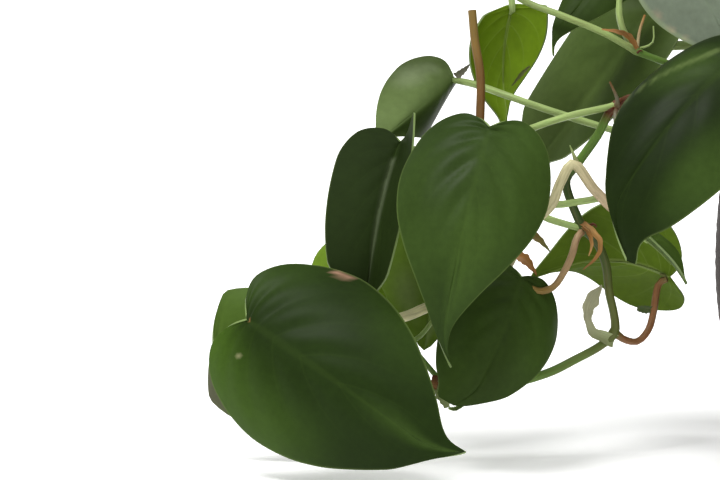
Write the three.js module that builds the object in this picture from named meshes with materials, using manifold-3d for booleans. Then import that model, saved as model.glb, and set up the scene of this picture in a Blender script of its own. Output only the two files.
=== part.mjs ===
// A heartleaf philodendron in a plain round-bellied pot. Slender stems stand in the potting soil, lean over
// the rim and trail, and each carries heart-shaped leaves on petioles, one at each node, on alternate sides.
// Millimetres, +Z up. The origin is the middle of the pot's foot, on the surface that it stands on.
// The front is -Y, and the longest stems trail to -X.

import * as THREE from "three";
import { mergeVertices } from "three/addons/utils/BufferGeometryUtils.js";
import Module from "manifold-3d";

const wasm = await Module();
wasm.setup();

// The pot: a thrown pot with one round wall, a rolled rim and four drain holes off the middle of its foot
const POT_HEIGHT = 125;
const POT_FOOT_RADIUS = 64;
const POT_BELLY_RADIUS = 80.5;
const POT_BELLY_HEIGHT = 70;
const POT_RIM_RADIUS = 74;
const POT_WALL = 5;
const POT_FLOOR = 6;
const POT_SIDES = 30;
const WALL_RINGS = 5;
const RIM_ROUNDING = 2.5;
const FOOT_ROUNDING = 2;
const DRAIN_RADIUS = 4;
const DRAIN_SPREAD = 32;
const DRAIN_SIDES = 8;

// The potting soil, filled to a little under the rim
const SOIL_LEVEL = 111;
const SOIL_LUMP = 1.6;
const SOIL_SIDES = 18;
const SOIL_RINGS = 4;
const SOIL_PLAY = 1.2;
const GAP = 0.35;
const HOLE_DEPTH = 22;
const HOLE_PLAY = 1.4;
const HOLE_SIDES = 8;

// Stems, petioles and blades
const STEM_RADIUS = 2;
const STEM_SIDES = 6;
const PETIOLE_RADIUS = 1.3;
const PETIOLE_SIDES = 5;
const BLADE_THICKNESS = 0.8;
const SHEATH_THICKNESS = 0.7;
const BLADE_GRID = [6, 4];

// Colours
const CHARCOAL = 0x40362f;
const SOIL_BROWN = 0x3a2b20;
const LEAF_GREEN = 0x39551f;

const vector = (point) => new THREE.Vector3(...point);
const radians = THREE.MathUtils.degToRad;

// A closed geometry as a solid: its shared corners merged and its empty triangles dropped.
function solid(geometry) {
  const bare = new THREE.BufferGeometry();
  bare.setAttribute("position", geometry.getAttribute("position").clone());
  if (geometry.index) bare.setIndex(geometry.index.clone());
  const merged = mergeVertices(bare);
  const index = merged.index.array;
  const triangles = [];
  for (let i = 0; i < index.length; i += 3) {
    const [a, b, c] = index.subarray(i, i + 3);
    if (a !== b && b !== c && c !== a) triangles.push(a, b, c);
  }
  return new wasm.Manifold(
    new wasm.Mesh({
      numProp: 3,
      vertProperties: merged.getAttribute("position").array,
      triVerts: new Uint32Array(triangles),
    }),
  );
}

// Keeps a fused solid's outer surface alone: sealed hollows are filled and loose scraps are dropped.
function outerShell(shape) {
  const { vertProperties, triVerts } = shape.getMesh();
  const leader = Array.from({ length: vertProperties.length / 3 }, (_, i) => i);
  const find = (i) => {
    while (leader[i] !== i) {
      leader[i] = leader[leader[i]];
      i = leader[i];
    }
    return i;
  };
  for (let i = 0; i < triVerts.length; i += 3) {
    leader[find(triVerts[i])] = find(triVerts[i + 1]);
    leader[find(triVerts[i + 2])] = find(triVerts[i + 1]);
  }
  const corner = (i) => new THREE.Vector3().fromArray(vertProperties, 3 * i);
  const shells = new Map();
  for (let i = 0; i < triVerts.length; i += 3) {
    const [a, b, c] = triVerts.subarray(i, i + 3);
    const shell = shells.get(find(a)) ?? { volume: 0, triangles: [] };
    shell.volume += corner(a).dot(corner(b).cross(corner(c))) / 6;
    shell.triangles.push(a, b, c);
    shells.set(find(a), shell);
  }
  const largest = [...shells.values()].sort((one, other) => other.volume - one.volume)[0];
  return new wasm.Manifold(
    new wasm.Mesh({ numProp: 3, vertProperties, triVerts: new Uint32Array(largest.triangles) }),
  );
}

// A solid as a named mesh with its own material.
function piece(name, shape, color, roughness) {
  const mesh = shape.getMesh();
  const geometry = new THREE.BufferGeometry();
  geometry.setAttribute("position", new THREE.BufferAttribute(mesh.vertProperties, 3));
  geometry.setIndex(new THREE.BufferAttribute(mesh.triVerts, 1));
  const part = new THREE.Mesh(
    geometry,
    new THREE.MeshStandardMaterial({ color, roughness, metalness: 0 }),
  );
  part.name = name;
  return part;
}

// A solid turned round the Z axis from a profile of [radius, height] points that starts and ends on it.
function turned(profile, sides) {
  const points = profile.map(([radius, height]) => new THREE.Vector2(radius, height));
  const lathe = new THREE.LatheGeometry(points, sides);
  return solid(lathe.rotateX(Math.PI / 2));
}

// An upright round peg, to cut a plain hole with.
function peg(x, y, radius, bottom, top, sides) {
  const cylinder = new THREE.CylinderGeometry(radius, radius, top - bottom, sides);
  return solid(cylinder.rotateX(Math.PI / 2).translate(x, y, (top + bottom) / 2));
}

const route = (points) => new THREE.CatmullRomCurve3(points.map(vector), false, "catmullrom", 0.5);

// The foot of a stem, upright in its hole until it is clear of the soil.
const foot = (x, y) => [
  [x, y, SOIL_LEVEL - HOLE_DEPTH],
  [x, y, SOIL_LEVEL],
  [x, y, SOIL_LEVEL + 7],
];

// A round stalk along a route.
function stalk(path, radius, sides, steps) {
  const section = new THREE.Shape();
  for (let i = 0; i < sides; i++) {
    const turn = (i / sides) * 2 * Math.PI;
    const corner = [radius * Math.cos(turn), radius * Math.sin(turn)];
    if (i === 0) section.moveTo(...corner);
    else section.lineTo(...corner);
  }
  section.closePath();
  return solid(new THREE.ExtrudeGeometry(section, { steps, bevelEnabled: false, extrudePath: path }));
}

// The pot's outer radius at a height: an arc through the foot, the belly and the rim.
const potRadius = (height) => {
  const below = (POT_BELLY_HEIGHT - height) / POT_BELLY_HEIGHT;
  const above = (height - POT_BELLY_HEIGHT) / (POT_HEIGHT - POT_BELLY_HEIGHT);
  return height < POT_BELLY_HEIGHT
    ? POT_BELLY_RADIUS - (POT_BELLY_RADIUS - POT_FOOT_RADIUS) * below ** 2
    : POT_BELLY_RADIUS - (POT_BELLY_RADIUS - POT_RIM_RADIUS) * above ** 2;
};

function pot() {
  const inside = (height) => potRadius(height) - POT_WALL;
  const profile = [
    [0, 0],
    [POT_FOOT_RADIUS - FOOT_ROUNDING, 0],
    [potRadius(FOOT_ROUNDING), FOOT_ROUNDING],
  ];
  for (let ring = 1; ring <= WALL_RINGS; ring++) {
    const height = (POT_HEIGHT * ring) / (WALL_RINGS + 1);
    profile.push([potRadius(height), height]);
  }
  profile.push(
    [potRadius(POT_HEIGHT - RIM_ROUNDING), POT_HEIGHT - RIM_ROUNDING],
    [POT_RIM_RADIUS - 0.3 * RIM_ROUNDING, POT_HEIGHT - 0.3 * RIM_ROUNDING],
    [POT_RIM_RADIUS - RIM_ROUNDING, POT_HEIGHT],
    [POT_RIM_RADIUS - POT_WALL, POT_HEIGHT - 0.6 * RIM_ROUNDING],
  );
  profile.push([inside(SOIL_LEVEL), SOIL_LEVEL]);
  for (let ring = WALL_RINGS - 1; ring >= 1; ring--) {
    const height = (POT_HEIGHT * ring) / (WALL_RINGS + 1);
    profile.push([inside(height), height]);
  }
  profile.push([inside(POT_FLOOR) - 2 * FOOT_ROUNDING, POT_FLOOR], [0, POT_FLOOR]);
  let body = turned(profile, POT_SIDES);
  for (let i = 0; i < 4; i++) {
    const turn = (i / 4 + 1 / 8) * 2 * Math.PI;
    const x = DRAIN_SPREAD * Math.cos(turn);
    const y = DRAIN_SPREAD * Math.sin(turn);
    body = body.subtract(peg(x, y, DRAIN_RADIUS, -1, POT_FLOOR + 1, DRAIN_SIDES));
  }
  return body;
}

// The soil's crumbly top.
const soilTop = (x, y) =>
  SOIL_LEVEL +
  SOIL_LUMP * (Math.sin(x * 0.21 + 1.1) * Math.cos(y * 0.17) + 0.6 * Math.sin(x * 0.33 - y * 0.29));

// The soil, which fills the pot, with a plain hole for the foot of each stem.
function soil(stems) {
  const inside = (height) => potRadius(height) - POT_WALL - SOIL_PLAY;
  const bottom = POT_FLOOR + GAP;
  const profile = [
    [0, bottom],
    [inside(bottom) - 3 * FOOT_ROUNDING, bottom],
  ];
  for (let ring = 1; ring < WALL_RINGS; ring++) {
    const height = (POT_HEIGHT * ring) / (WALL_RINGS + 1);
    profile.push([inside(height), height]);
  }
  for (let ring = SOIL_RINGS; ring >= 0; ring--) {
    profile.push([(inside(SOIL_LEVEL) * ring) / SOIL_RINGS, SOIL_LEVEL]);
  }
  const points = profile.map(([radius, height]) => new THREE.Vector2(radius, height));
  const lathe = new THREE.LatheGeometry(points, SOIL_SIDES).rotateX(Math.PI / 2);
  const position = lathe.getAttribute("position");
  for (let i = 0; i < position.count; i++) {
    if (position.getZ(i) < SOIL_LEVEL - 0.1) continue;
    position.setZ(i, soilTop(position.getX(i), position.getY(i)));
  }
  let body = solid(lathe);
  for (const { path, radius } of stems) {
    const start = path.getPoint(0);
    const top = SOIL_LEVEL + 3 * SOIL_LUMP;
    body = body.subtract(peg(start.x, start.y, radius + HOLE_PLAY, start.z - GAP, top, HOLE_SIDES));
  }
  return body;
}

// Half of a blade's outline, from the sinus round the lobe to the tip: x in blade lengths along the midrib,
// y in half widths.
const HALF_OUTLINE = new THREE.SplineCurve(
  [
    [0, 0],
    [-0.055, 0.16],
    [-0.09, 0.4],
    [-0.05, 0.68],
    [0.06, 0.89],
    [0.22, 1],
    [0.4, 0.93],
    [0.56, 0.74],
    [0.7, 0.49],
    [0.82, 0.26],
    [0.91, 0.11],
    [1, 0],
  ].map(([x, y]) => new THREE.Vector2(x, y)),
);
const WIDEST = 0.22;
const RIB_LEAD = 2.3;
const KEEL = 0.03;
const TAIL_START = 0.8;
const TAIL_FORMED = 0.96;

// Width is a share of the length, fold, arch, bend and twist are degrees, and bow, flick and wave are shares
// of the length. A lobe above 1 reaches further back, and a taper above 1 narrows the blade towards its tip,
// by more on its left half where skew is above 0. A fold lifts one half of the blade, a curl lifts the left
// half further towards its lobe, an arch lets the margins down again, a bend lets the tip down, and a bow
// curves the midrib sideways. The tip is drawn out into a tail: acumen is the share of its width that it
// loses, and a flick turns it sideways.
const ORDINARY_BLADE = {
  width: 0.72,
  lobe: 1,
  taper: 1,
  skew: 0,
  acumen: 0.3,
  foldLeft: 8,
  foldRight: 8,
  curl: 0,
  arch: 26,
  bend: 24,
  twist: 0,
  bow: 0,
  flick: 0,
  wave: 0.008,
};

// A blade's surface between its base, where the petiole joins, and its tip. Its upper side looks along face.
class Blade {
  constructor(leaf) {
    this.form = { ...ORDINARY_BLADE, ...leaf };
    this.base = vector(leaf.base);
    const chord = vector(leaf.tip).sub(this.base);
    const tip = this.bent(1, 0, 0);
    this.length = chord.length() / tip.length();
    this.forward = chord.clone().normalize();
    this.up = vector(leaf.face);
    this.up.addScaledVector(this.forward, -this.up.dot(this.forward)).normalize();
    this.left = this.up.clone().cross(this.forward);
    this.own = { forward: tip.clone().normalize() };
    this.own.up = new THREE.Vector3(0, 0, 1);
    this.own.up.addScaledVector(this.own.forward, -this.own.forward.z).normalize();
    this.own.left = this.own.up.clone().cross(this.own.forward);
  }

  // A point in blade lengths: along runs from the sinus (0) round the margin to the tip (1), across from the
  // right margin (-1) over the midrib to the left one (1).
  bent(along, across, lift) {
    const form = this.form;
    const edge = HALF_OUTLINE.getPoint(along);
    if (edge.x < 0) edge.x *= form.lobe;
    const taper = form.taper * (1 + (across > 0 ? form.skew : -form.skew));
    const tail = THREE.MathUtils.smoothstep(edge.x, TAIL_START, TAIL_FORMED);
    const fullness = (edge.x > WIDEST ? edge.y ** taper : edge.y) * (1 - form.acumen * tail);
    const reach = Math.abs(across);
    const rib = along ** RIB_LEAD;
    const x = rib + reach * (edge.x - rib);
    const wide = (reach * fullness * form.width) / 2;
    const fold = across > 0 ? form.foldLeft + form.curl * (1 - x) ** 2 : form.foldRight;
    const lean = radians((fold * wide) / (wide + KEEL) - (form.arch * wide * 2) / form.width);
    const ripple = form.wave * reach ** 2 * Math.sin(along * 13 + (across > 0 ? 0 : 2));
    let y = Math.sign(across) * wide * Math.cos(lean);
    let z = wide * Math.sin(lean) + lift / Math.cos(lean) + ripple;
    y += form.bow * 4 * x * (1 - x);
    y += form.flick * Math.max(0, (x - TAIL_START) / (1 - TAIL_START)) ** 2;
    const twist = radians(form.twist) * x;
    [y, z] = [y * Math.cos(twist) - z * Math.sin(twist), y * Math.sin(twist) + z * Math.cos(twist)];
    const bend = radians(form.bend) || 1e-6;
    const turn = bend * x;
    return new THREE.Vector3(
      Math.sin(turn) / bend + z * Math.sin(turn),
      y,
      (Math.cos(turn) - 1) / bend + z * Math.cos(turn),
    );
  }

  at(along, across, lift = 0) {
    const flat = this.bent(along, across, lift / this.length);
    return this.base
      .clone()
      .addScaledVector(this.forward, flat.dot(this.own.forward) * this.length)
      .addScaledVector(this.left, flat.dot(this.own.left) * this.length)
      .addScaledVector(this.up, flat.dot(this.own.up) * this.length);
  }

  solid(rows, columns) {
    const box = new THREE.BoxGeometry(1, 1, 1, rows, columns, 1);
    matchFaces(box);
    const position = box.getAttribute("position");
    for (let i = 0; i < position.count; i++) {
      const along = position.getX(i) + 0.5;
      const across = position.getY(i) * 2;
      const point = this.at(along, across, position.getZ(i) * BLADE_THICKNESS);
      position.setXYZ(i, point.x, point.y, point.z);
    }
    return solid(box);
  }
}

// Cuts a box's underside into triangles along the same diagonals as its top.
function matchFaces(box) {
  const under = box.groups[5];
  const index = box.index;
  for (let i = under.start; i < under.start + under.count; i += 6) {
    const [a, b, d, c] = [0, 1, 2, 4].map((step) => index.getX(i + step));
    [a, b, c, a, c, d].forEach((corner, step) => index.setX(i + step, corner));
  }
}

// A dry papery sheath: a cupped strip along a route, widest at its middle.
function sheath({ points, width, face }) {
  const path = route(points);
  const box = new THREE.BoxGeometry(1, 1, 1, 6, 2, 1);
  matchFaces(box);
  const position = box.getAttribute("position");
  for (let i = 0; i < position.count; i++) {
    const along = position.getX(i) + 0.5;
    const across = position.getY(i) * 2;
    const forward = path.getTangent(along);
    const up = vector(face);
    up.addScaledVector(forward, -up.dot(forward)).normalize();
    const left = up.clone().cross(forward);
    const half = (width / 2) * (0.25 + 0.75 * Math.sin(Math.PI * along));
    const lift = position.getZ(i) * SHEATH_THICKNESS + 0.5 * half * across ** 2;
    const point = path.getPoint(along).addScaledVector(left, half * across).addScaledVector(up, lift);
    position.setXYZ(i, point.x, point.y, point.z);
  }
  return solid(box);
}

// The route of a leaf's petiole: out of the stem's middle, and into the blade just past the sinus.
function petioleRoute(stem, leaf, blade) {
  const start = stem.path.getPoint(leaf.node);
  const end = blade.at(0.3, 0, -0.7);
  const points = [start, ...leaf.petiole.map(vector), blade.at(0, 0, -0.9), end];
  return new THREE.CatmullRomCurve3(points, false, "catmullrom", 0.5);
}

// One leafy stem, fused: the stem, its petioles and blades, and the dry sheaths and stubs at its nodes.
function leafyStem(stem) {
  let body = stalk(stem.path, stem.radius, STEM_SIDES, stem.steps);
  for (const leaf of stem.leaves) {
    const blade = new Blade(leaf);
    const petiole = petioleRoute(stem, leaf, blade);
    const radius = leaf.petioleRadius ?? PETIOLE_RADIUS;
    body = body.add(stalk(petiole, radius, PETIOLE_SIDES, 2 + leaf.petiole.length));
    const [rows, columns] = leaf.grid ?? BLADE_GRID;
    body = body.add(blade.solid(rows, columns));
  }
  for (const strip of stem.sheaths ?? []) body = body.add(sheath(strip));
  for (const stub of stem.stubs ?? []) {
    body = body.add(stalk(route(stub.points), stub.radius, PETIOLE_SIDES, stub.points.length + 1));
  }
  return outerShell(body);
}

// The stems that trail to the left, over the rim and round each other, with their leaves placed one by one.
const HAND_STEMS = [
  {
    name: "leafy_stem_01",
    radius: 1.25,
    steps: 18,
    points: [
      ...foot(-54, 2),
      [-64, -4, 129],
      [-80, -8, 136],
      [-101, -12, 144],
      [-111, -12, 148],
      [-124, -10, 155],
      [-139, -6, 161],
      [-152, 0, 166],
      [-168, 6, 177],
      [-182, 10, 193],
    ],
    leaves: [
      {
        node: 6 / 11,
        petiole: [[-116, -6, 156], [-117, -2, 166], [-115, 4, 182]],
        base: [-112, 6, 183],
        tip: [-141, -6, 146],
        face: [-0.4, -1, 0.4],
        width: 0.48,
        flick: 0.1,
      },
      {
        node: 10 / 11,
        petiole: [[-176, 14, 190], [-166, 22, 192], [-158, 20, 180]],
        base: [-154.9, 16, 163.5],
        tip: [-159.1, 4, 118.8],
        face: [0.25, 1, -0.1],
        width: 0.68,
        lobe: 0,
        taper: 1.44,
        skew: -0.6,
        acumen: 0.44,
        foldLeft: -26,
        foldRight: 14,
        arch: 29,
        bend: 70,
        bow: 0.107,
        flick: 0.072,
        grid: [9, 4],
      },
      {
        node: 1,
        petiole: [[-190, 12, 206]],
        base: [-197, 14, 222],
        tip: [-262, -8, 198],
        face: [-0.3, -0.3, 1],
      },
      {
        node: 0.96,
        petiole: [[-176, 24, 200], [-168, 36, 212]],
        base: [-160, 46, 220],
        tip: [-146, 104, 196],
        face: [-0.1, 0.3, 1],
      },
      {
        node: 4 / 11,
        petiole: [[-84, 2, 152], [-88, 12, 172]],
        base: [-92, 22, 196],
        tip: [-136, 56, 214],
        face: [-0.5, 0.1, 1],
      },
    ],
    sheaths: [
      {
        points: [[-111, -13, 149], [-114, -14, 153], [-118, -15, 155], [-124, -14, 156]],
        width: 3.6,
        face: [0, -1, 0.5],
      },
    ],
    stubs: [
      {
        points: [[-111, -12, 148], [-110, -10, 155], [-108, -9, 161]],
        radius: 0.7,
      },
    ],
  },
  {
    name: "leafy_stem_02",
    radius: 1.9,
    steps: 30,
    points: [
      ...foot(-50, -24),
      [-60, -26, 131],
      [-76, -28, 134],
      [-92, -29, 118],
      [-106, -30, 97],
      [-117, -31, 91],
      [-127, -34, 99],
      [-135, -36, 109],
      [-140, -37, 102],
      [-143, -34, 94],
      [-152, -30, 84],
      [-161, -24, 67],
      [-175, -22, 60],
      [-187, -25, 56],
      [-196, -30, 53],
      [-212, -37, 50],
      [-224, -43, 50],
    ],
    leaves: [
      {
        node: 1,
        petiole: [[-236, -52, 56], [-247, -62, 59]],
        base: [-251, -70, 57],
        tip: [-175, -96, 14.4],
        face: [-0.15, -1, 0.35],
        width: 0.84,
        lobe: 1.2,
        taper: 0.78,
        acumen: 0.39,
        foldLeft: 3,
        foldRight: -5,
        arch: 29,
        bend: 45,
        twist: 4,
        flick: 0.07,
        grid: [11, 6],
      },
      {
        node: 17 / 18,
        petiole: [[-228, -34, 47], [-248, -31, 44]],
        base: [-264.6, -28, 42.6],
        tip: [-204.4, -38, 33],
        face: [-0.1, -1, 0.1],
        width: 0.8,
        lobe: 0.15,
        foldLeft: 6.6,
        foldRight: 3.3,
        arch: 18,
        bend: 27,
        bow: -0.044,
        flick: -0.027,
        grid: [8, 4],
      },
      {
        node: 7 / 18,
        petiole: [[-123, -30, 96], [-131, -29, 95], [-144, -30, 94], [-166, -21, 98], [-186, -18, 110]],
        base: [-197.1, -20, 115.5],
        tip: [-211, -49.7, 58.1],
        face: [0.12, -1, 0.24],
        width: 0.58,
        lobe: 0.8,
        taper: 0.3,
        skew: 0.38,
        acumen: 0.65,
        foldLeft: 83,
        foldRight: 7.8,
        curl: 19,
        arch: 8,
        bend: 47,
        twist: -4.3,
        bow: -0.05,
        flick: -0.03,
        grid: [10, 4],
      },
      {
        node: 5 / 18,
        petiole: [
          [-96, -20, 118],
          [-106, -15, 116],
          [-119, -10, 119],
          [-142, -8, 126],
          [-157, -4, 131],
          [-169, 7, 134.6],
        ],
        base: [-177.2, 16, 136.8],
        tip: [-204.4, -9, 114.3],
        face: [0.26, -0.81, 0.54],
        width: 0.87,
        lobe: 1.24,
        taper: 0.94,
        skew: 0.41,
        acumen: 0,
        foldLeft: -46.5,
        foldRight: 0,
        curl: -27.7,
        arch: 20,
        bend: 29,
        twist: 4,
        bow: 0.025,
        flick: 0.014,
        grid: [9, 4],
      },
      {
        node: 6 / 18,
        petiole: [[-107, -37, 90]],
        petioleRadius: 0.9,
        base: [-109, -40, 83],
        tip: [-95, -46, 67],
        face: [0.7, -0.3, 0.5],
        width: 0.6,
        foldLeft: 50,
        foldRight: 50,
      },
    ],
    stubs: [
      {
        points: [
          [-160, -24, 68],
          [-163, -28, 92],
          [-168, -28, 115],
          [-168, -22, 138],
          [-170, -18, 152],
          [-171, -16, 163],
        ],
        radius: 1.6,
      },
    ],
  },
  {
    name: "leafy_stem_03",
    radius: 1.8,
    steps: 34,
    points: [
      ...foot(-44, -12),
      [-58, -15, 134],
      [-78, -19, 139],
      [-103, -22, 133],
      [-119, -23, 129],
      [-126, -24, 118],
      [-133, -24, 108],
      [-137, -21, 101],
      [-133, -20, 89],
      [-130, -20, 84],
      [-125, -18, 78],
      [-122, -18, 70],
      [-121, -18, 61],
      [-119, -18, 52],
      [-119, -18, 46],
      [-124, -18, 41],
      [-133, -18, 36],
      [-144, -20, 31],
      [-161, -24, 27],
      [-172, -26, 28],
      [-184, -28, 30],
    ],
    leaves: [
      {
        node: 6 / 22,
        petiole: [[-125, -26, 128], [-136, -32, 126], [-144, -36, 124], [-151, -42, 122], [-159, -50, 120]],
        base: [-165.9, -55, 123.5],
        tip: [-179.7, -74, 41],
        face: [0, -1, 0.15],
        width: 0.66,
        lobe: 0.86,
        taper: 1.44,
        skew: 0.09,
        acumen: 0,
        foldLeft: 2,
        foldRight: -3,
        arch: 28,
        bend: 64,
        twist: -9,
        bow: -0.008,
        flick: 0.056,
        grid: [11, 6],
      },
      {
        node: 11 / 22,
        petiole: [[-133, -23, 81], [-135, -26, 75], [-138, -28, 69], [-142, -31, 64], [-148, -34, 63]],
        base: [-153.5, -34, 67.9],
        tip: [-178.4, -52, 24.2],
        face: [0, -1, 0.2],
        width: 0.87,
        lobe: 0.93,
        taper: 0.41,
        skew: 0.37,
        acumen: 0.18,
        foldLeft: -4.6,
        foldRight: 8.3,
        arch: 29.4,
        bend: 49.5,
        bow: 0.022,
        flick: -0.09,
        grid: [10, 4],
      },
      {
        node: 16 / 22,
        petiole: [[-115, -16, 43], [-110, -13, 42], [-106, -11, 46], [-104, -8, 52], [-102, -5, 62]],
        base: [-98, -4, 64.8],
        tip: [-149.1, -8, 64.7],
        face: [0, 1, 0.3],
        width: 1.04,
        lobe: 0.97,
        taper: 1.63,
        skew: -0.56,
        acumen: 0,
        foldLeft: 12,
        foldRight: 52,
        arch: 20,
        bend: 33,
        twist: -6.6,
        bow: 0.125,
        flick: 0.04,
        grid: [10, 4],
      },
      {
        node: 11 / 22,
        petiole: [[-138, -20, 86], [-146, -19, 89], [-160, -12, 98], [-172, -2, 108]],
        base: [-180, 2, 105],
        tip: [-188, -8, 38],
        face: [0, -1, 0.2],
        width: 0.8,
        taper: 0.6,
      },
    ],
    sheaths: [
      {
        points: [[-131, -22, 86], [-128, -26, 84], [-125, -27, 80], [-126, -28, 75], [-131, -28, 70]],
        width: 3,
        face: [0.3, -1, 0.2],
      },
      {
        points: [[-119, -18, 43], [-127, -23, 47], [-129, -24, 53], [-128, -25, 58], [-124, -24, 64]],
        width: 5,
        face: [0, -1, 0],
      },
    ],
  },
  {
    name: "leafy_stem_04",
    radius: 1.9,
    steps: 12,
    points: [
      ...foot(-36, -38),
      [-40, -43, 134],
      [-48, -48, 148],
      [-56, -50, 160],
      [-62, -48, 174],
    ],
    leaves: [
      {
        node: 5 / 7,
        petiole: [[-60, -54, 160], [-70, -57, 156]],
        base: [-77.7, -62, 149.1],
        tip: [-119.3, -88, 79.9],
        face: [0, -1, 0.3],
        width: 0.7,
        lobe: 1.32,
        taper: 0.75,
        skew: -0.56,
        foldLeft: 30,
        foldRight: -11,
        arch: 35.6,
        bend: 44.6,
        bow: -0.043,
        flick: 0.15,
        grid: [11, 6],
      },
      {
        node: 1,
        petiole: [[-74, -42, 184], [-90, -34, 192]],
        base: [-100, -30, 189],
        tip: [-75, -46, 141],
        face: [-0.2, -1, 0.5],
        width: 0.75,
      },
    ],
  },
  {
    name: "leafy_stem_05",
    radius: 1.8,
    steps: 18,
    points: [
      ...foot(-40, 22),
      [-56, 30, 136],
      [-82, 38, 147],
      [-114, 40, 142],
      [-136, 40, 118],
      [-148, 36, 108],
      [-159, 32, 101],
      [-185, 27, 79],
      [-197, 24, 66],
    ],
    leaves: [
      {
        node: 4 / 10,
        petiole: [[-92, 38, 160]],
        base: [-99.9, 26, 165.6],
        tip: [-146.1, 36, 101.3],
        face: [-0.2, -1, 0.5],
        width: 0.62,
        taper: 0.32,
        skew: 0.47,
        acumen: 0.42,
        foldLeft: 68,
        arch: 28.6,
        bend: 47,
        bow: 0.036,
        grid: [9, 4],
      },
      {
        node: 1,
        petiole: [[-200, 22, 74]],
        base: [-208.2, 14, 72.7],
        tip: [-223.3, 8, 36.1],
        face: [0, -1, 0.2],
        width: 0.88,
        bow: -0.027,
      },
    ],
  },
];

// The other stems, numbered on from those: where each stands in the soil, the way it heads (degrees from
// +X), how high it arches, how far it reaches, how far it sways to its left, the height of its tip and how
// many leaves it carries.
const OTHER_STEMS = [
  { hole: [-22, 44], heading: 106, crest: 215, reach: 140, sway: 12, end: 84, leaves: 4 },
  { hole: [8, 46], heading: 72, crest: 222, reach: 175, sway: -16, end: 48, leaves: 5 },
  { hole: [40, 30], heading: 30, crest: 214, reach: 185, sway: 15, end: 62, leaves: 5 },
  { hole: [48, -6], heading: -14, crest: 206, reach: 190, sway: -14, end: 36, leaves: 5 },
  { hole: [30, -38], heading: -52, crest: 212, reach: 165, sway: 14, end: 60, leaves: 5 },
  { hole: [-6, -46], heading: -80, crest: 198, reach: 120, sway: -12, end: 84, leaves: 4 },
  { hole: [-10, 8], heading: 150, crest: 250, reach: 60, sway: 8, end: 250, leaves: 5 },
  { hole: [16, 2], heading: -20, crest: 260, reach: 60, sway: -8, end: 265, leaves: 5 },
];
const OTHER_STEM_STEPS = 11;
const OTHER_BLADE_GRID = [5, 4];

// How such a stem goes: up to its crest as [share of the reach, share of the rise from the soil to the
// crest], and down again as [share of the reach, share of the fall from the crest to the tip].
const ARCH_UP = [
  [0.01, 0.16],
  [0.13, 0.62],
  [0.36, 0.88],
];
const ARCH_DOWN = [
  [0.6, 0.3],
  [0.82, 0.68],
  [1, 1],
];

// The limits that their leaves are drawn between: degrees that a petiole stands off from the stem, its
// length and its rise, degrees that the blade turns and droops, the length of its chord, and its form. The
// last leaf of a stem stands nearer to the stem's own line.
const LIMITS = {
  aside: [35, 105],
  petiole: [34, 60],
  rise: [-6, 30],
  turn: [-30, 30],
  droop: [15, 75],
  chord: [56, 86],
  roll: [-0.4, 0.4],
  width: [0.68, 0.8],
  bend: [14, 40],
  arch: [16, 34],
  bow: [-0.03, 0.03],
};
const PETIOLE_LIFT = 4;
const LAST_ASIDE = 0.3;

// How far their leaves keep from other leaves and stems, from the pot and from the surface that it stands
// on, and the plane behind which they keep, so that the front left side is left to the stems placed above.
const FIRST_NODE = 0.42;
const CLEARANCE = 9;
const STEM_CLEARANCE = 7;
const PETIOLE_CLEARANCE = 5;
const POT_CLEARANCE = 6;
const SURFACE_CLEARANCE = 6;
const OPEN_SIDE = -62;
const OPEN_SLOPE = -0.07;
const TRIES = 200;
const SEED = 4127;

let draw = SEED;
function random([low, high]) {
  draw = (draw * 16807) % 2147483647;
  return low + ((high - low) * draw) / 2147483647;
}

// Points spread over a leaf, to keep leaves clear of each other with.
function bladeProbes(blade) {
  const probes = [];
  for (let row = 0; row <= 8; row++) {
    for (let column = -3; column <= 3; column++) probes.push(blade.at(row / 8, column / 3));
  }
  return probes;
}

function arching({ hole, heading, crest, reach, sway, end }) {
  const out = radians(heading);
  const at = (share, height) => {
    const aside = sway * Math.sin(5 * share);
    return [
      hole[0] + share * reach * Math.cos(out) - aside * Math.sin(out),
      hole[1] + share * reach * Math.sin(out) + aside * Math.cos(out),
      height,
    ];
  };
  return route([
    ...foot(...hole),
    ...ARCH_UP.map(([share, rise]) => at(share, SOIL_LEVEL + rise * (crest - SOIL_LEVEL))),
    ...ARCH_DOWN.map(([share, fall]) => at(share, crest - fall * (crest - end))),
  ]);
}

const touches = (probes, others, distance) =>
  probes.some((probe) => others.some((other) => probe.distanceToSquared(other) < distance ** 2));

const clearOfPot = ({ x, y, z }) =>
  z > POT_HEIGHT + POT_CLEARANCE || Math.hypot(x, y) > POT_BELLY_RADIUS + POT_CLEARANCE;

const isFree = (probe) =>
  probe.z > SURFACE_CLEARANCE && clearOfPot(probe) && probe.x > OPEN_SIDE + OPEN_SLOPE * probe.y;

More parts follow.
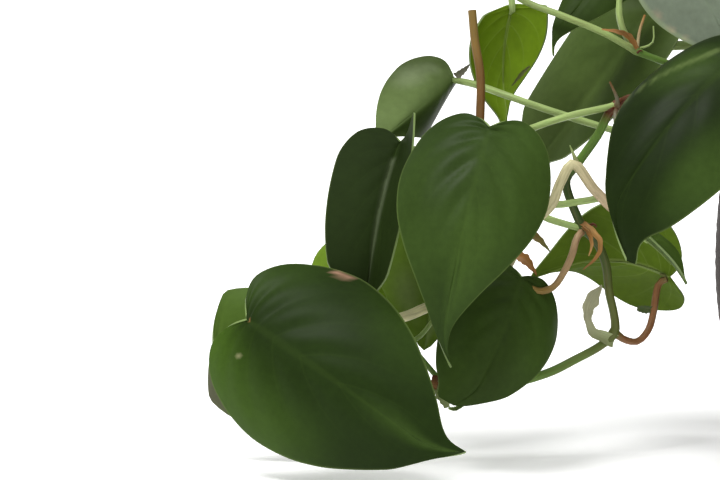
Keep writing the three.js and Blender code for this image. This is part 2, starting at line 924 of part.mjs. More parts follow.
// One try at a leaf at a node: the petiole lifts the blade out to one side, and the blade hangs outwards.
function leafTry(stem, node, side) {
  const start = stem.path.getPoint(node);
  const along = stem.path.getTangent(node);
  const aside = side * (node < 1 ? 1 : LAST_ASIDE);
  const heading = Math.atan2(along.y, along.x) + aside * radians(random(LIMITS.aside));
  const out = new THREE.Vector3(Math.cos(heading), Math.sin(heading), 0);
  const petiole = random(LIMITS.petiole);
  const rise = random(LIMITS.rise);
  const middle = start.clone().addScaledVector(out, 0.5 * petiole);
  middle.z += 0.75 * rise + PETIOLE_LIFT;
  const base = start.clone().addScaledVector(out, petiole);
  base.z += rise;
  const turn = heading + radians(random(LIMITS.turn));
  const droop = radians(random(LIMITS.droop));
  const chord = random(LIMITS.chord);
  const tip = base.clone();
  tip.x += chord * Math.cos(turn) * Math.cos(droop);
  tip.y += chord * Math.sin(turn) * Math.cos(droop);
  tip.z -= chord * Math.sin(droop);
  const roll = random(LIMITS.roll);
  return {
    node,
    petiole: [middle.toArray()],
    base: base.toArray(),
    tip: tip.toArray(),
    face: [
      Math.cos(turn) * Math.sin(droop) - roll * Math.sin(turn),
      Math.sin(turn) * Math.sin(droop) + roll * Math.cos(turn),
      Math.cos(droop),
    ],
    width: random(LIMITS.width),
    bend: random(LIMITS.bend),
    arch: random(LIMITS.arch),
    bow: random(LIMITS.bow),
    grid: OTHER_BLADE_GRID,
  };
}

// Gives a stem its leaves: each is drawn again until it hangs clear of all that stands already.
function giveLeaves(stem, count, taken) {
  for (let i = 0; i < count; i++) {
    const node = FIRST_NODE + ((1 - FIRST_NODE) * i) / (count - 1);
    for (let attempt = 0; attempt < TRIES; attempt++) {
      const leaf = leafTry(stem, node, i % 2 ? 1 : -1);
      const blade = new Blade(leaf);
      const probes = bladeProbes(blade);
      const petioleProbes = petioleRoute(stem, leaf, blade).getPoints(12);
      if (!probes.every(isFree)) continue;
      if (touches(probes, taken.stems, STEM_CLEARANCE)) continue;
      if (touches(probes, taken.leaves, CLEARANCE)) continue;
      if (touches(petioleProbes, taken.leaves, STEM_CLEARANCE)) continue;
      if (touches(petioleProbes.slice(3), taken.stems, PETIOLE_CLEARANCE)) continue;
      stem.leaves.push(leaf);
      taken.leaves.push(...probes, ...petioleProbes);
      break;
    }
  }
}

const stems = HAND_STEMS.map((stem) => ({ ...stem, path: route(stem.points) }));
const taken = { stems: [], leaves: [] };
for (const stem of stems) {
  taken.stems.push(...stem.path.getPoints(40));
  for (const leaf of stem.leaves) {
    const blade = new Blade(leaf);
    taken.leaves.push(...bladeProbes(blade));
    taken.leaves.push(...petioleRoute(stem, leaf, blade).getPoints(8));
  }
}
const otherStems = OTHER_STEMS.map((stem, i) => ({
  name: `leafy_stem_${String(HAND_STEMS.length + 1 + i).padStart(2, "0")}`,
  radius: STEM_RADIUS,
  steps: OTHER_STEM_STEPS,
  path: arching(stem),
  leaves: [],
}));
for (const stem of otherStems) taken.stems.push(...stem.path.getPoints(60).slice(9));
otherStems.forEach((stem, i) => giveLeaves(stem, OTHER_STEMS[i].leaves, taken));
stems.push(...otherStems);

const plant = new THREE.Group();
plant.add(piece("pot", pot(), CHARCOAL, 0.55));
plant.add(piece("potting_soil", soil(stems), SOIL_BROWN, 0.95));
for (const stem of stems) plant.add(piece(stem.name, leafyStem(stem), LEAF_GREEN, 0.4));

export default plant;
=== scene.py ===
import math

import bmesh
import bpy
import numpy as np
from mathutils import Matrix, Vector, noise


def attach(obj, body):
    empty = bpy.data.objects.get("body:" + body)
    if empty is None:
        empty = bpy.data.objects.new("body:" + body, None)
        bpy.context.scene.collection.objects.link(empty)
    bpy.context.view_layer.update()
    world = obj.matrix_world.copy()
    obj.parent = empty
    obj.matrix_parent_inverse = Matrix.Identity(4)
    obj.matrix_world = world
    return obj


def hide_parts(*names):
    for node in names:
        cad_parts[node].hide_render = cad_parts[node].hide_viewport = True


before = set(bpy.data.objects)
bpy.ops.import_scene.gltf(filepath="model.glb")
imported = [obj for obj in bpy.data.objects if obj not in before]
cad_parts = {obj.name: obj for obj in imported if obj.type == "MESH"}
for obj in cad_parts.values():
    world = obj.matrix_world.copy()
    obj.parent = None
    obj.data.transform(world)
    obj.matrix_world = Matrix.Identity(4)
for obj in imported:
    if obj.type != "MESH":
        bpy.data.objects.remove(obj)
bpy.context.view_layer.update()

# The pot is thrown in one piece: a round belly, a rolled rim and four drain holes off the middle of its foot.
# It is charcoal brown under a thin satin glaze that thins to brown at the rim. Lengths are millimetres until
# a finished mesh is scaled to metres.
MM = 0.001
POT_HEIGHT = 125
POT_FOOT_RADIUS = 64
POT_BELLY_RADIUS = 80.5
POT_BELLY_HEIGHT = 70
POT_RIM_RADIUS = 74
POT_WALL = 5
POT_FLOOR = 6
POT_STEPS = 96
RIM_ROUNDING = 2.5
FOOT_ROUNDING = 2
THROWING_RIDGE = 0.12
RIDGE_PACE = 1.3
DRAIN_RADIUS = 4
DRAIN_SPREAD = 32
DRAIN_TURNS = (45, 135, 225, 315)
WELD = 0.001


def pot_radius(height):
    if height < POT_BELLY_HEIGHT:
        below = (POT_BELLY_HEIGHT - height) / POT_BELLY_HEIGHT
        return POT_BELLY_RADIUS - (POT_BELLY_RADIUS - POT_FOOT_RADIUS) * below**2
    above = (height - POT_BELLY_HEIGHT) / (POT_HEIGHT - POT_BELLY_HEIGHT)
    return POT_BELLY_RADIUS - (POT_BELLY_RADIUS - POT_RIM_RADIUS) * above**2


def spun(mesh, outline, steps):
    """Spins half an outline, given as radius and height, into a closed round shell."""
    corners = [mesh.verts.new((radius, 0, level)) for radius, level in outline]
    edges = [mesh.edges.new(pair) for pair in zip(corners, corners[1:])]
    bmesh.ops.spin(mesh, geom=corners + edges, cent=(0, 0, 0), axis=(0, 0, 1), angle=2 * math.pi,
                   steps=steps, use_merge=True)
    bmesh.ops.remove_doubles(mesh, verts=mesh.verts, dist=WELD)
    bmesh.ops.recalc_face_normals(mesh, faces=mesh.faces)


def finished(name, mesh, materials, sharp=45):
    """A bmesh in millimetres as an object in metres, with its place in its mesh."""
    bmesh.ops.scale(mesh, vec=(MM, MM, MM), verts=mesh.verts)
    for face in mesh.faces:
        face.smooth = True
    data = bpy.data.meshes.new(name)
    mesh.to_mesh(data)
    mesh.free()
    data.set_sharp_from_angle(angle=math.radians(sharp))
    for material in materials:
        data.materials.append(material)
    piece = bpy.data.objects.new(name, data)
    bpy.context.scene.collection.objects.link(piece)
    return piece


def apply_modifiers(piece, sharp):
    """Swaps a piece's mesh for what its modifiers make of it."""
    depsgraph = bpy.context.evaluated_depsgraph_get()
    data = bpy.data.meshes.new_from_object(piece.evaluated_get(depsgraph), depsgraph=depsgraph)
    piece.modifiers.clear()
    piece.data = data
    data.name = piece.name
    data.set_sharp_from_angle(angle=math.radians(sharp))


def paint(red, green, blue):
    """A colour as a screen shows it (0 to 255), as the linear colour that a material takes."""
    linear = [((share + 0.055) / 1.055) ** 2.4 if share > 0.04045 else share / 12.92
              for share in (red / 255, green / 255, blue / 255)]
    return (*linear, 1)


def feed(tree, node, inputs):
    """Sets a shader node's inputs, or links those that another node gives."""
    for key, value in inputs.items():
        if isinstance(value, bpy.types.NodeSocket):
            tree.links.new(value, node.inputs[key])
        else:
            node.inputs[key].default_value = value


def add_node(tree, kind, inputs, **settings):
    made = tree.nodes.new("ShaderNode" + kind)
    for key, value in settings.items():
        setattr(made, key, value)
    feed(tree, made, inputs)
    return made


def reckon(tree, operation, *values):
    return add_node(tree, "Math", dict(enumerate(values)), operation=operation).outputs[0]


def ranged(tree, value, low, high, at_low, at_high, how="LINEAR"):
    """A value between low and high, as one between at_low and at_high."""
    return add_node(tree, "MapRange", {0: value, 1: low, 2: high, 3: at_low, 4: at_high},
                    interpolation_type=how).outputs[0]


def speckle(tree, place, scale, detail):
    return add_node(tree, "TexNoise", {"Vector": place, "Scale": scale, "Detail": detail}).outputs[0]


def blend_colours(tree, share, one, other, how="MIX"):
    return add_node(tree, "Mix", {0: share, 6: one, 7: other}, data_type="RGBA", blend_type=how).outputs[2]


def new_material(name):
    material = bpy.data.materials.new(name)
    material.use_nodes = True
    tree = material.node_tree
    return material, tree, tree.nodes["Principled BSDF"]


# Mottling, which every surface here has: a colour made lighter and darker in soft patches, and a fine height.
GRAIN_FINER = 9.0
mottling = bpy.data.node_groups.new("mottling", "ShaderNodeTree")
for socket, kind in (("Colour", "Color"), ("Scale", "Float"), ("Depth", "Float")):
    mottling.interface.new_socket(socket, in_out="INPUT", socket_type="NodeSocket" + kind)
for socket, kind in (("Colour", "Color"), ("Patches", "Float"), ("Height", "Float")):
    mottling.interface.new_socket(socket, in_out="OUTPUT", socket_type="NodeSocket" + kind)
given = mottling.nodes.new("NodeGroupInput").outputs
place = add_node(mottling, "TexCoord", {}).outputs["Object"]
patches = speckle(mottling, place, given["Scale"], 5.0)
grain = speckle(mottling, place, reckon(mottling, "MULTIPLY", given["Scale"], GRAIN_FINER), 3.0)
centred = reckon(mottling, "SUBTRACT", patches, 0.5)
shade = reckon(mottling, "MULTIPLY_ADD", centred, given["Depth"], 1.0)
grey = add_node(mottling, "CombineColor", {0: shade, 1: shade, 2: shade}).outputs[0]
shaded = blend_colours(mottling, 1.0, given["Colour"], grey, "MULTIPLY")
feed(mottling, mottling.nodes.new("NodeGroupOutput"), {"Colour": shaded, "Patches": patches, "Height": grain})


def mottled(tree, colour, scale, depth):
    group = add_node(tree, "Group", {"Colour": colour, "Scale": scale, "Depth": depth}, node_tree=mottling)
    return group.outputs


def bump(tree, height, strength, distance):
    return add_node(tree, "Bump", {"Height": height, "Strength": strength, "Distance": distance}).outputs[0]


PATCHES = (0.3, 0.7)
CHARCOAL = paint(58, 48, 43)
RIM_BROWN = paint(104, 84, 68)
glaze, tree, shader = new_material("charcoal_glaze")
spots = mottled(tree, CHARCOAL, scale=38.0, depth=0.7)
place = add_node(tree, "TexCoord", {}).outputs["Object"]
height = add_node(tree, "SeparateXYZ", {0: place}).outputs[2]
rim_wear = ranged(tree, height, (POT_HEIGHT - 3.5) * MM, (POT_HEIGHT + 0.2) * MM, 0.0, 0.55)
feed(tree, shader, {
    "Base Color": blend_colours(tree, rim_wear, spots["Colour"], RIM_BROWN),
    "Roughness": ranged(tree, spots["Patches"], *PATCHES, 0.5, 0.62),
    "Specular IOR Level": 0.06,
    "Normal": bump(tree, spots["Height"], strength=0.25, distance=0.0006),
})

mesh = bmesh.new()
outline = [(0, 0), (POT_FOOT_RADIUS - 2 * FOOT_ROUNDING, 0), (POT_FOOT_RADIUS - FOOT_ROUNDING, 0.2),
           (pot_radius(0.6) - 0.7, 0.6), (pot_radius(FOOT_ROUNDING), FOOT_ROUNDING)]
outline += [(pot_radius(h) + THROWING_RIDGE * math.sin(h * RIDGE_PACE), h)
            for h in range(5, POT_HEIGHT - 3, 2)]
for turn in range(0, 181, 20):
    angle = math.radians(turn)
    middle = POT_RIM_RADIUS - POT_WALL / 2
    outline.append((middle + POT_WALL / 2 * math.cos(angle),
                    POT_HEIGHT - RIM_ROUNDING + RIM_ROUNDING * math.sin(angle)))
outline += [(pot_radius(h) - POT_WALL, h) for h in range(POT_HEIGHT - 8, POT_FLOOR + 4, -6)]
outline += [(pot_radius(POT_FLOOR) - POT_WALL - 2, POT_FLOOR + 1.5),
            (pot_radius(POT_FLOOR) - POT_WALL - 6, POT_FLOOR), (0, POT_FLOOR)]
spun(mesh, outline, POT_STEPS)
pot = finished("plant_pot", mesh, [glaze])

mesh = bmesh.new()
for turn in DRAIN_TURNS:
    made = bmesh.ops.create_cone(mesh, cap_ends=True, segments=24, radius1=DRAIN_RADIUS,
                                 radius2=DRAIN_RADIUS, depth=4 * POT_FLOOR)
    aside = Vector((math.cos(math.radians(turn)), math.sin(math.radians(turn)), 0)) * DRAIN_SPREAD
    bmesh.ops.translate(mesh, vec=aside, verts=made["verts"])
drill = finished("drain_drill", mesh, [])
cut = pot.modifiers.new("drain holes", "BOOLEAN")
cut.operation = "DIFFERENCE"
cut.object = drill
apply_modifiers(pot, sharp=35)
bpy.data.objects.remove(drill)
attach(pot, "root")
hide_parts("pot")

# The potting soil fills the pot to a little under its rim: dark peat, uneven on top, with bark chips and
# white grains of perlite that lie loose on it and partly sunk in.
SOIL_LEVEL = 111
SOIL_LUMP = 1.6
SOIL_ROUGHNESS = 1.1
SOIL_PLAY = 1.2
SOIL_RINGS = 46
SOIL_STEPS = 120
GAP = 0.35
CRUMBS = 620
PEAT, BARK, PERLITE = range(3)
PERLITE_SHARE = 0.16
BARK_SHARE = 0.45
# How a crumb is flattened, its least size and the spread of its sizes.
PERLITE_FORM = ((1, 0.75, 0.6), 0.7, 1.5)
CHIP_FORM = ((1.3, 0.8, 0.42), 0.8, 2.3)


def soil_top(x, y):
    """The lumpy top, the same one that the soil's solid has."""
    lump = math.sin(x * 0.21 + 1.1) * math.cos(y * 0.17) + 0.6 * math.sin(x * 0.33 - y * 0.29)
    return SOIL_LEVEL + SOIL_LUMP * lump


def crumbly(name, colour, scale, depth, roughness, relief, strength, distance):
    material, tree, shader = new_material(name)
    clods = mottled(tree, colour, scale, depth)
    feed(tree, shader, {"Base Color": clods["Colour"], "Roughness": roughness,
                        "Normal": bump(tree, clods[relief], strength, distance)})
    return material


soil_materials = [
    crumbly("peat", paint(52, 38, 27), scale=160.0, depth=1.3, roughness=0.95, relief="Patches",
            strength=0.9, distance=0.002),
    crumbly("bark_chips", paint(104, 70, 44), scale=240.0, depth=1.2, roughness=0.85, relief="Height",
            strength=0.6, distance=0.0008),
    crumbly("perlite", paint(205, 200, 186), scale=300.0, depth=0.4, roughness=0.9, relief="Height",
            strength=0.5, distance=0.0005),
]

mesh = bmesh.new()
soil_radius = pot_radius(SOIL_LEVEL) - POT_WALL - SOIL_PLAY
outline = [(soil_radius * ring / SOIL_RINGS, SOIL_LEVEL) for ring in range(SOIL_RINGS)]
outline += [(pot_radius(h) - POT_WALL - SOIL_PLAY, h) for h in (SOIL_LEVEL, 92, 70, 45, 22)]
outline += [(pot_radius(POT_FLOOR) - POT_WALL - 3 * FOOT_ROUNDING, POT_FLOOR + GAP), (0, POT_FLOOR + GAP)]
spun(mesh, outline, SOIL_STEPS)
for corner in mesh.verts:
    if corner.co.z > SOIL_LEVEL - 0.1:
        x, y = corner.co.xy
        rough = noise.fractal(Vector((x, y, 3)) * 0.16, 0.9, 2.1, 4)
        corner.co.z = soil_top(x, y) + SOIL_ROUGHNESS * rough


def draws(seed):
    """The same even draws between 0 and 1 in every run."""
    while True:
        seed = (seed * 16807) % 2147483647
        yield seed / 2147483647


toss = draws(911)
for crumb in range(CRUMBS):
    reach = (soil_radius - 3) * math.sqrt(next(toss))
    turn = 2 * math.pi * next(toss)
    x, y = reach * math.cos(turn), reach * math.sin(turn)
    kind = PERLITE if next(toss) < PERLITE_SHARE else BARK if next(toss) < BARK_SHARE else PEAT
    flat, least, spread = PERLITE_FORM if kind == PERLITE else CHIP_FORM
    size = least + spread * next(toss) ** 2
    made = bmesh.ops.create_icosphere(mesh, subdivisions=1, radius=size)["verts"]
    bmesh.ops.scale(mesh, vec=flat, verts=made)
    for corner in made:
        corner.co *= 0.8 + 0.4 * noise.noise(corner.co * 0.9 + Vector((crumb, 0, 0)))
    spin = Vector((next(toss) - 0.5, next(toss) - 0.5, 1)).to_track_quat("Z", "X").to_matrix()
    bmesh.ops.rotate(mesh, cent=(0, 0, 0), matrix=spin, verts=made)
    bmesh.ops.translate(mesh, vec=(x, y, soil_top(x, y) + 0.3 * size), verts=made)
    for face in {face for corner in made for face in corner.link_faces}:
        face.material_index = kind
soil = finished("potting_mix", mesh, soil_materials, sharp=60)
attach(soil, "root")
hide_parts("potting_soil")

# The leafy stems stand in the soil, and the first five lean over the rim and trail to the left. Each is a
# round stem a few millimetres thick that swells at its nodes, with one leaf at each node on a thinner
# petiole. The young stems are pale green, and the older ones are straw-coloured, olive or reddish brown.
HOLE_DEPTH = 22
STEM_RADIUS = 2
PETIOLE_RADIUS = 1.3
STALK_STEP = 2.2
NODE_SWELL = 0.32
NODE_REACH = 2.6
UNEVENNESS = 0.05
GRAIN_SPAN = 100
FINE_WELD = 0.0005
SHOOT = paint(146, 168, 102)
GRASS = paint(88, 122, 48)
OLIVE = paint(84, 92, 42)
MOSS = paint(54, 74, 32)
STRAW = paint(188, 180, 140)
# Cream, made lighter than the stem's own colour as painted light where a leaf shades it.
CREAM_AND_PAINTED_LIGHT = paint(222, 214, 170)
BLUSH = paint(192, 164, 136)
SANDY = paint(172, 142, 108)
OCHRE = paint(120, 96, 46)
BARK_BROWN = paint(100, 68, 30)
VINE = paint(110, 127, 72)
TENDER = paint(134, 154, 90)
RUST = paint(130, 88, 56)
NODE_BROWN = paint(82, 34, 18)
UMBER = paint(112, 74, 34)
GOLDEN = paint(158, 110, 56)
STREAK = paint(104, 92, 60)


class Route:
    """A smooth route through points, the same one that the solids' stems follow."""

    def __init__(self, points):
        self.points = [Vector(point) for point in points]

    def at(self, share):
        points = self.points
        place = (len(points) - 1) * share
        index = int(place)
        part = place - index
        if index == len(points) - 1:
            index, part = index - 1, 1.0
        second, third = points[index], points[index + 1]
        first = points[index - 1] if index > 0 else 2 * points[0] - points[1]
        fourth = points[index + 2] if index + 2 < len(points) else 2 * points[-1] - points[-2]
        start, end = (third - first) / 2, (fourth - second) / 2
        return (second + start * part + (3 * (third - second) - 2 * start - end) * part**2
                + (2 * (second - third) + start + end) * part**3)

    def heading(self, share):
        return (self.at(min(share + 0.0001, 1)) - self.at(max(share - 0.0001, 0))).normalized()

    def spaced(self, steps):
        """Evenly spaced shares of the route's length, with the length."""
        count = 12 * len(self.points)
        marks = [self.at(i / count) for i in range(count + 1)]
        run = np.concatenate([[0], np.cumsum([(b - a).length for a, b in zip(marks, marks[1:])])])
        shares = np.interp(np.linspace(0, run[-1], steps + 1), run, np.linspace(0, 1, count + 1))
        return [float(share) for share in shares], float(run[-1])


def foot(x, y):
    """The first points of a stem: the foot of its hole, the soil's level and a little above."""
    return [(x, y, SOIL_LEVEL - HOLE_DEPTH), (x, y, SOIL_LEVEL), (x, y, SOIL_LEVEL + 7)]


def tint_at(tints, share):
    """The colour at a share of a route: each tint is a share and the colour that it has there."""
    shares, colours = zip(*tints)
    return [float(np.interp(share, shares, band)) for band in zip(*colours)]


def unit_grid(mesh, along, across):
    return bmesh.ops.create_grid(mesh, x_segments=along, y_segments=across, size=0.5)["verts"]


def add_stalk(mesh, path, thickness, tints, sides=10, nodes=(), thin_from=0.0, thin_end=1.0):
    """A round stalk along a route: a grid that is rolled up, closed at both ends."""
    tint = mesh.verts.layers.float_color["tint"]
    grain = mesh.loops.layers.uv["UVMap"]
    steps = max(6, round(path.spaced(2)[1] / STALK_STEP))
    shares, length = path.spaced(steps)
    shares = [0] + shares + [1]
    ring, across = [], None
    for share in shares:
        forward = path.heading(share)
        across = across or forward.orthogonal()
        across = (across - forward * across.dot(forward)).normalized()
        ring.append((path.at(share), across, forward.cross(across), share))
    grid = unit_grid(mesh, len(ring) - 1, sides)
    for corner in grid:
        row = round((corner.co.x + 0.5) * (len(ring) - 1))
        turn = (corner.co.y + 0.5) * 2 * math.pi
        middle, side, up, share = ring[row]
        swell = 1 + sum(NODE_SWELL * math.exp(-(((share - node) * length / NODE_REACH) ** 2))
                        for node in nodes)
        wobble = 1 + UNEVENNESS * noise.noise(middle * 0.09 + Vector((thickness, 0, 0)))
        reach = thickness * swell * wobble
        reach *= 1 + (thin_end - 1) * max(0, (share - thin_from) / (1 - thin_from))
        if row in (0, len(ring) - 1):
            reach = 0
        corner[tint] = tint_at(tints, share)
        corner.co = middle + side * reach * math.cos(turn) + up * reach * math.sin(turn)
        for loop in corner.link_loops:
            loop[grain].uv = (share * length / GRAIN_SPAN, turn / (2 * math.pi))
    bmesh.ops.remove_doubles(mesh, verts=grid, dist=FINE_WELD)


stalk_skin, tree, shader = new_material("stalk_skin")
tint = add_node(tree, "Attribute", {}, attribute_name="tint").outputs["Color"]
uv = add_node(tree, "UVMap", {}, uv_map="UVMap").outputs[0]
stretched = add_node(tree, "Mapping", {"Vector": uv, "Scale": (9.0, 16.0, 1.0)}).outputs[0]
streaks = speckle(tree, stretched, 1.0, 4.0)
skin = mottled(tree, tint, scale=120.0, depth=0.6)
feed(tree, shader, {
    "Base Color": blend_colours(tree, ranged(tree, streaks, 0.45, 0.72, 0.0, 0.5), skin["Colour"], STREAK),
    "Roughness": 0.42,
    "Specular IOR Level": 0.2,
    "Normal": bump(tree, streaks, strength=0.35, distance=0.0004),
})

# Each blade is heart-shaped, under a millimetre thick and a little folded along its sunken midrib, with side
# veins that fan out of the base and curve to the margin. It is satin dark green above, paler and duller
# below, and its margin is a thin pale line.
HALF_OUTLINE = [
    (0, 0), (-0.055, 0.16), (-0.09, 0.4), (-0.05, 0.68), (0.06, 0.89), (0.22, 1),
    (0.4, 0.93), (0.56, 0.74), (0.7, 0.49), (0.82, 0.26), (0.91, 0.11), (1, 0),
]
WIDEST = 0.22
RIB_LEAD = 2.3
KEEL = 0.03
TAIL_START = 0.8
TAIL_FORMED = 0.96
RIPPLES = 13
RIPPLE_SHIFT = 2
BLADE_THICKNESS = 0.7
SIDE_VEINS = 7
VEIN_SWEEP = -0.24
FINE_GRID = (56, 36)
PLAIN_GRID = (30, 20)
QUILT = 0.8
GROOVE = 0.35
FURROW_SHARPNESS = 1.5
FURROW_DEPTH = 1.2
GROOVE_WIDTH = 0.06
MARK_LENGTHENED = 0.35
DARKEST_LEAF = paint(23, 35, 9)
FRONT_LEAF = paint(28, 42, 12)
DEEP_LEAF = paint(30, 42, 15)
SATIN_LEAF = paint(39, 55, 20)
DARK_LEAF = paint(44, 60, 22)
MID_LEAF = paint(56, 76, 30)
BRIGHT_LEAF = paint(60, 86, 22)
FRESH_LEAF = paint(66, 88, 32)
MEADOW_LEAF = paint(78, 100, 32)
THIN_LEAF = paint(80, 102, 25)
OLD_LEAF = paint(74, 90, 45)
# Pale grey-green, partly painted sheen.
PALE_SHEENED_LEAF = paint(95, 113, 65)
SAGE_LEAF = paint(96, 112, 64)
YOUNG_LEAF = paint(96, 122, 22)
# Bright yellow-green, partly painted light on the leaf.
LIME_AND_PAINTED_LIGHT_LEAF = paint(96, 122, 34)
# Pale grey-green: painted sheen on one leaf, and a pale margin line on another.
PALE_MARGIN_AND_SHEEN = paint(136, 150, 112)
SCAR = paint(150, 116, 96)
DUSTY = paint(84, 84, 66)
PALE_UNDER = paint(78, 98, 50)
# Grey-green leaf colour with a painted sheen of reflected sky in it.
GREY_SHEEN_LEAF = paint(104, 114, 97)
# Pale grey-green for a painted sheen stripe along a midrib.
SHEEN_STRIPE = paint(88, 96, 74)
MARGIN_LINE = paint(104, 122, 66)
MARGIN_EDGE = paint(104, 124, 66)


def heart_edge(along):
    points = [Vector(point) for point in HALF_OUTLINE]
    place = (len(points) - 1) * along
    index = int(place)
    part = place - index
    first, second = points[max(index - 1, 0)], points[min(index, len(points) - 1)]
    third, fourth = points[min(index + 1, len(points) - 1)], points[min(index + 2, len(points) - 1)]
    start, end = (third - first) / 2, (fourth - second) / 2
    return ((2 * (second - third) + start + end) * part**3
            + (3 * (third - second) - 2 * start - end) * part**2 + start * part + second)


class Blade:
    """A blade's surface between its base, where the petiole joins, and its tip."""

    def __init__(self, base, tip, face, width=0.72, lobe=1, taper=1, skew=0, acumen=0.3, fold_left=8,
                 fold_right=8, curl=0, arch=26, bend=24, twist=0, bow=0, flick=0, wave=0.008, **rest):
        self.width, self.lobe, self.taper, self.skew, self.acumen = width, lobe, taper, skew, acumen
        self.fold_left, self.fold_right, self.curl, self.arch = fold_left, fold_right, curl, arch
        self.bend = math.radians(bend) or 1e-6
        self.twist, self.bow, self.flick, self.wave = twist, bow, flick, wave
        self.base = Vector(base)
        chord = Vector(tip) - self.base
        end = self.bent(1, 0)
        self.length = chord.length / end.length
        forward = chord.normalized()
        up = Vector(face)
        up = (up - forward * up.dot(forward)).normalized()
        self.frame = (forward, up.cross(forward), up)
        own_forward = end.normalized()
        own_up = Vector((0, 0, 1))
        own_up = (own_up - own_forward * own_forward.z).normalized()
        self.own = (own_forward, own_up.cross(own_forward), own_up)

    def bent(self, along, across, lift=0.0):
        edge = heart_edge(along)
        if edge.x < 0:
            edge.x *= self.lobe
        taper = self.taper * (1 + (self.skew if across > 0 else -self.skew))
        tail = min(max((edge.x - TAIL_START) / (TAIL_FORMED - TAIL_START), 0), 1)
        fullness = edge.y**taper if edge.x > WIDEST else edge.y
        fullness *= 1 - self.acumen * tail * tail * (3 - 2 * tail)
        reach = abs(across)
        rib = along**RIB_LEAD
        x = rib + reach * (edge.x - rib)
        wide = reach * fullness * self.width / 2
        fold = self.fold_left + self.curl * (1 - x) ** 2 if across > 0 else self.fold_right
        lean = math.radians(fold * wide / (wide + KEEL) - self.arch * wide * 2 / self.width)
        ripple = self.wave * reach**2 * math.sin(along * RIPPLES + (0 if across > 0 else RIPPLE_SHIFT))
        y = math.copysign(wide, across) * math.cos(lean)
        z = wide * math.sin(lean) + lift / math.cos(lean) + ripple
        y += self.bow * 4 * x * (1 - x)
        y += self.flick * max(0, (x - TAIL_START) / (1 - TAIL_START)) ** 2
        twist = math.radians(self.twist) * x
        y, z = y * math.cos(twist) - z * math.sin(twist), y * math.sin(twist) + z * math.cos(twist)
        turn = self.bend * x
        return Vector((math.sin(turn) / self.bend + z * math.sin(turn), y,
                       (math.cos(turn) - 1) / self.bend + z * math.cos(turn)))

    def at(self, along, across, lift=0.0):
        flat = self.bent(along, across, lift / self.length) * self.length
        return self.base + sum((own.dot(flat) * to for own, to in zip(self.own, self.frame)), Vector())


def quilting(along, across, depth, groove):
    """How far a point of a blade is sunk along its midrib and side veins, in millimetres."""
    reach = abs(across)
    phase = (along + VEIN_SWEEP * reach) * SIDE_VEINS
    furrow = (0.5 + 0.5 * math.cos(2 * math.pi * phase)) ** FURROW_SHARPNESS
    furrow *= 0.7 + 0.6 * noise.noise(Vector((5 * along, 2 * across, 7)))
    # The furrows run out at the midrib, the margin, the tip and the base.
    fade = min(1, reach * 5) * (1 - reach) * min(1, 2.2 * (1 - along)) * min(1, 6 * along)
    return -groove * math.exp(-((reach / GROOVE_WIDTH) ** 2)) - FURROW_DEPTH * depth * furrow * fade


def add_blade(mesh, leaf, blade):
    """A blade: a grid laid over the heart-shaped surface."""
    upper = mesh.verts.layers.float_color["upper"]
    under = mesh.verts.layers.float_color["under"]
    veins = mesh.loops.layers.uv["UVMap"]
    grid = unit_grid(mesh, *(FINE_GRID if leaf.get("fine") else PLAIN_GRID))
    for corner in grid:
        along = min(max(corner.co.x + 0.5, 0), 1)
        across = min(max(corner.co.y * 2, -1), 1)
        corner[upper] = leaf.get("upper", DARK_LEAF)
        corner[under] = leaf.get("under", PALE_UNDER)
        for mark_along, mark_across, size, colour, depth in leaf.get("marks", ()):
            off = math.hypot(along - mark_along, (across - mark_across) * MARK_LENGTHENED) / size
            if off < 1:
                share = depth * (1 - off * off) ** 2
                corner[upper] = Vector(corner[upper]).lerp(Vector(colour), share)
        sunk = quilting(along, across, leaf.get("quilt", QUILT), leaf.get("groove", GROOVE))
        corner.co = blade.at(along, across, sunk)
        for loop in corner.link_loops:
            loop[veins].uv = (along + VEIN_SWEEP * abs(across), 0.5 + across / 2)
    bmesh.ops.remove_doubles(mesh, verts=grid, dist=FINE_WELD)


def blade_skin(name, attribute, rib_colour, rib_share, vein_share, gloss, depth):
    """A blade's skin: its own colour, mottled, with a paler midrib, side veins and margin."""
    material, tree, shader = new_material(name)
    own = add_node(tree, "Attribute", {}, attribute_name=attribute).outputs["Color"]
    uv = add_node(tree, "SeparateXYZ", {0: add_node(tree, "UVMap", {}, uv_map="UVMap").outputs[0]}).outputs
    reach = reckon(tree, "ABSOLUTE", reckon(tree, "SUBTRACT", uv[1], 0.5))
    rib = ranged(tree, reach, 0.006, 0.03, 1.0, 0.0, "SMOOTHSTEP")
    phase = reckon(tree, "MULTIPLY", uv[0], float(SIDE_VEINS))
    to_and_fro = reckon(tree, "PINGPONG", phase, 1.0)
    line = reckon(tree, "ABSOLUTE", reckon(tree, "SUBTRACT", to_and_fro, 0.5))
    vein = ranged(tree, line, 0.43, 0.495, 0.0, 1.0, "SMOOTHSTEP")
    fade = ranged(tree, reach, 0.0, 0.45, 1.0, 0.15)
    faded = reckon(tree, "MULTIPLY", vein, fade)
    margin = ranged(tree, reach, 0.488, 0.5, 0.0, 0.4)
    patches = mottled(tree, own, scale=34.0, depth=0.75)
    specks = mottled(tree, patches["Colour"], scale=420.0, depth=0.35)
    ribbed = blend_colours(tree, reckon(tree, "MULTIPLY", rib, rib_share), specks["Colour"], rib_colour)
    veined = blend_colours(tree, reckon(tree, "MULTIPLY", faded, vein_share), ribbed, rib_colour)
    relief = reckon(tree, "MULTIPLY_ADD", specks["Height"], 0.25, faded)
    feed(tree, shader, {
        "Base Color": blend_colours(tree, margin, veined, MARGIN_LINE),
        "Roughness": ranged(tree, patches["Patches"], *PATCHES, gloss, gloss + 0.12),
        "Specular IOR Level": 0.05,
        "Normal": bump(tree, relief, depth, distance=0.0003),
    })
    return material


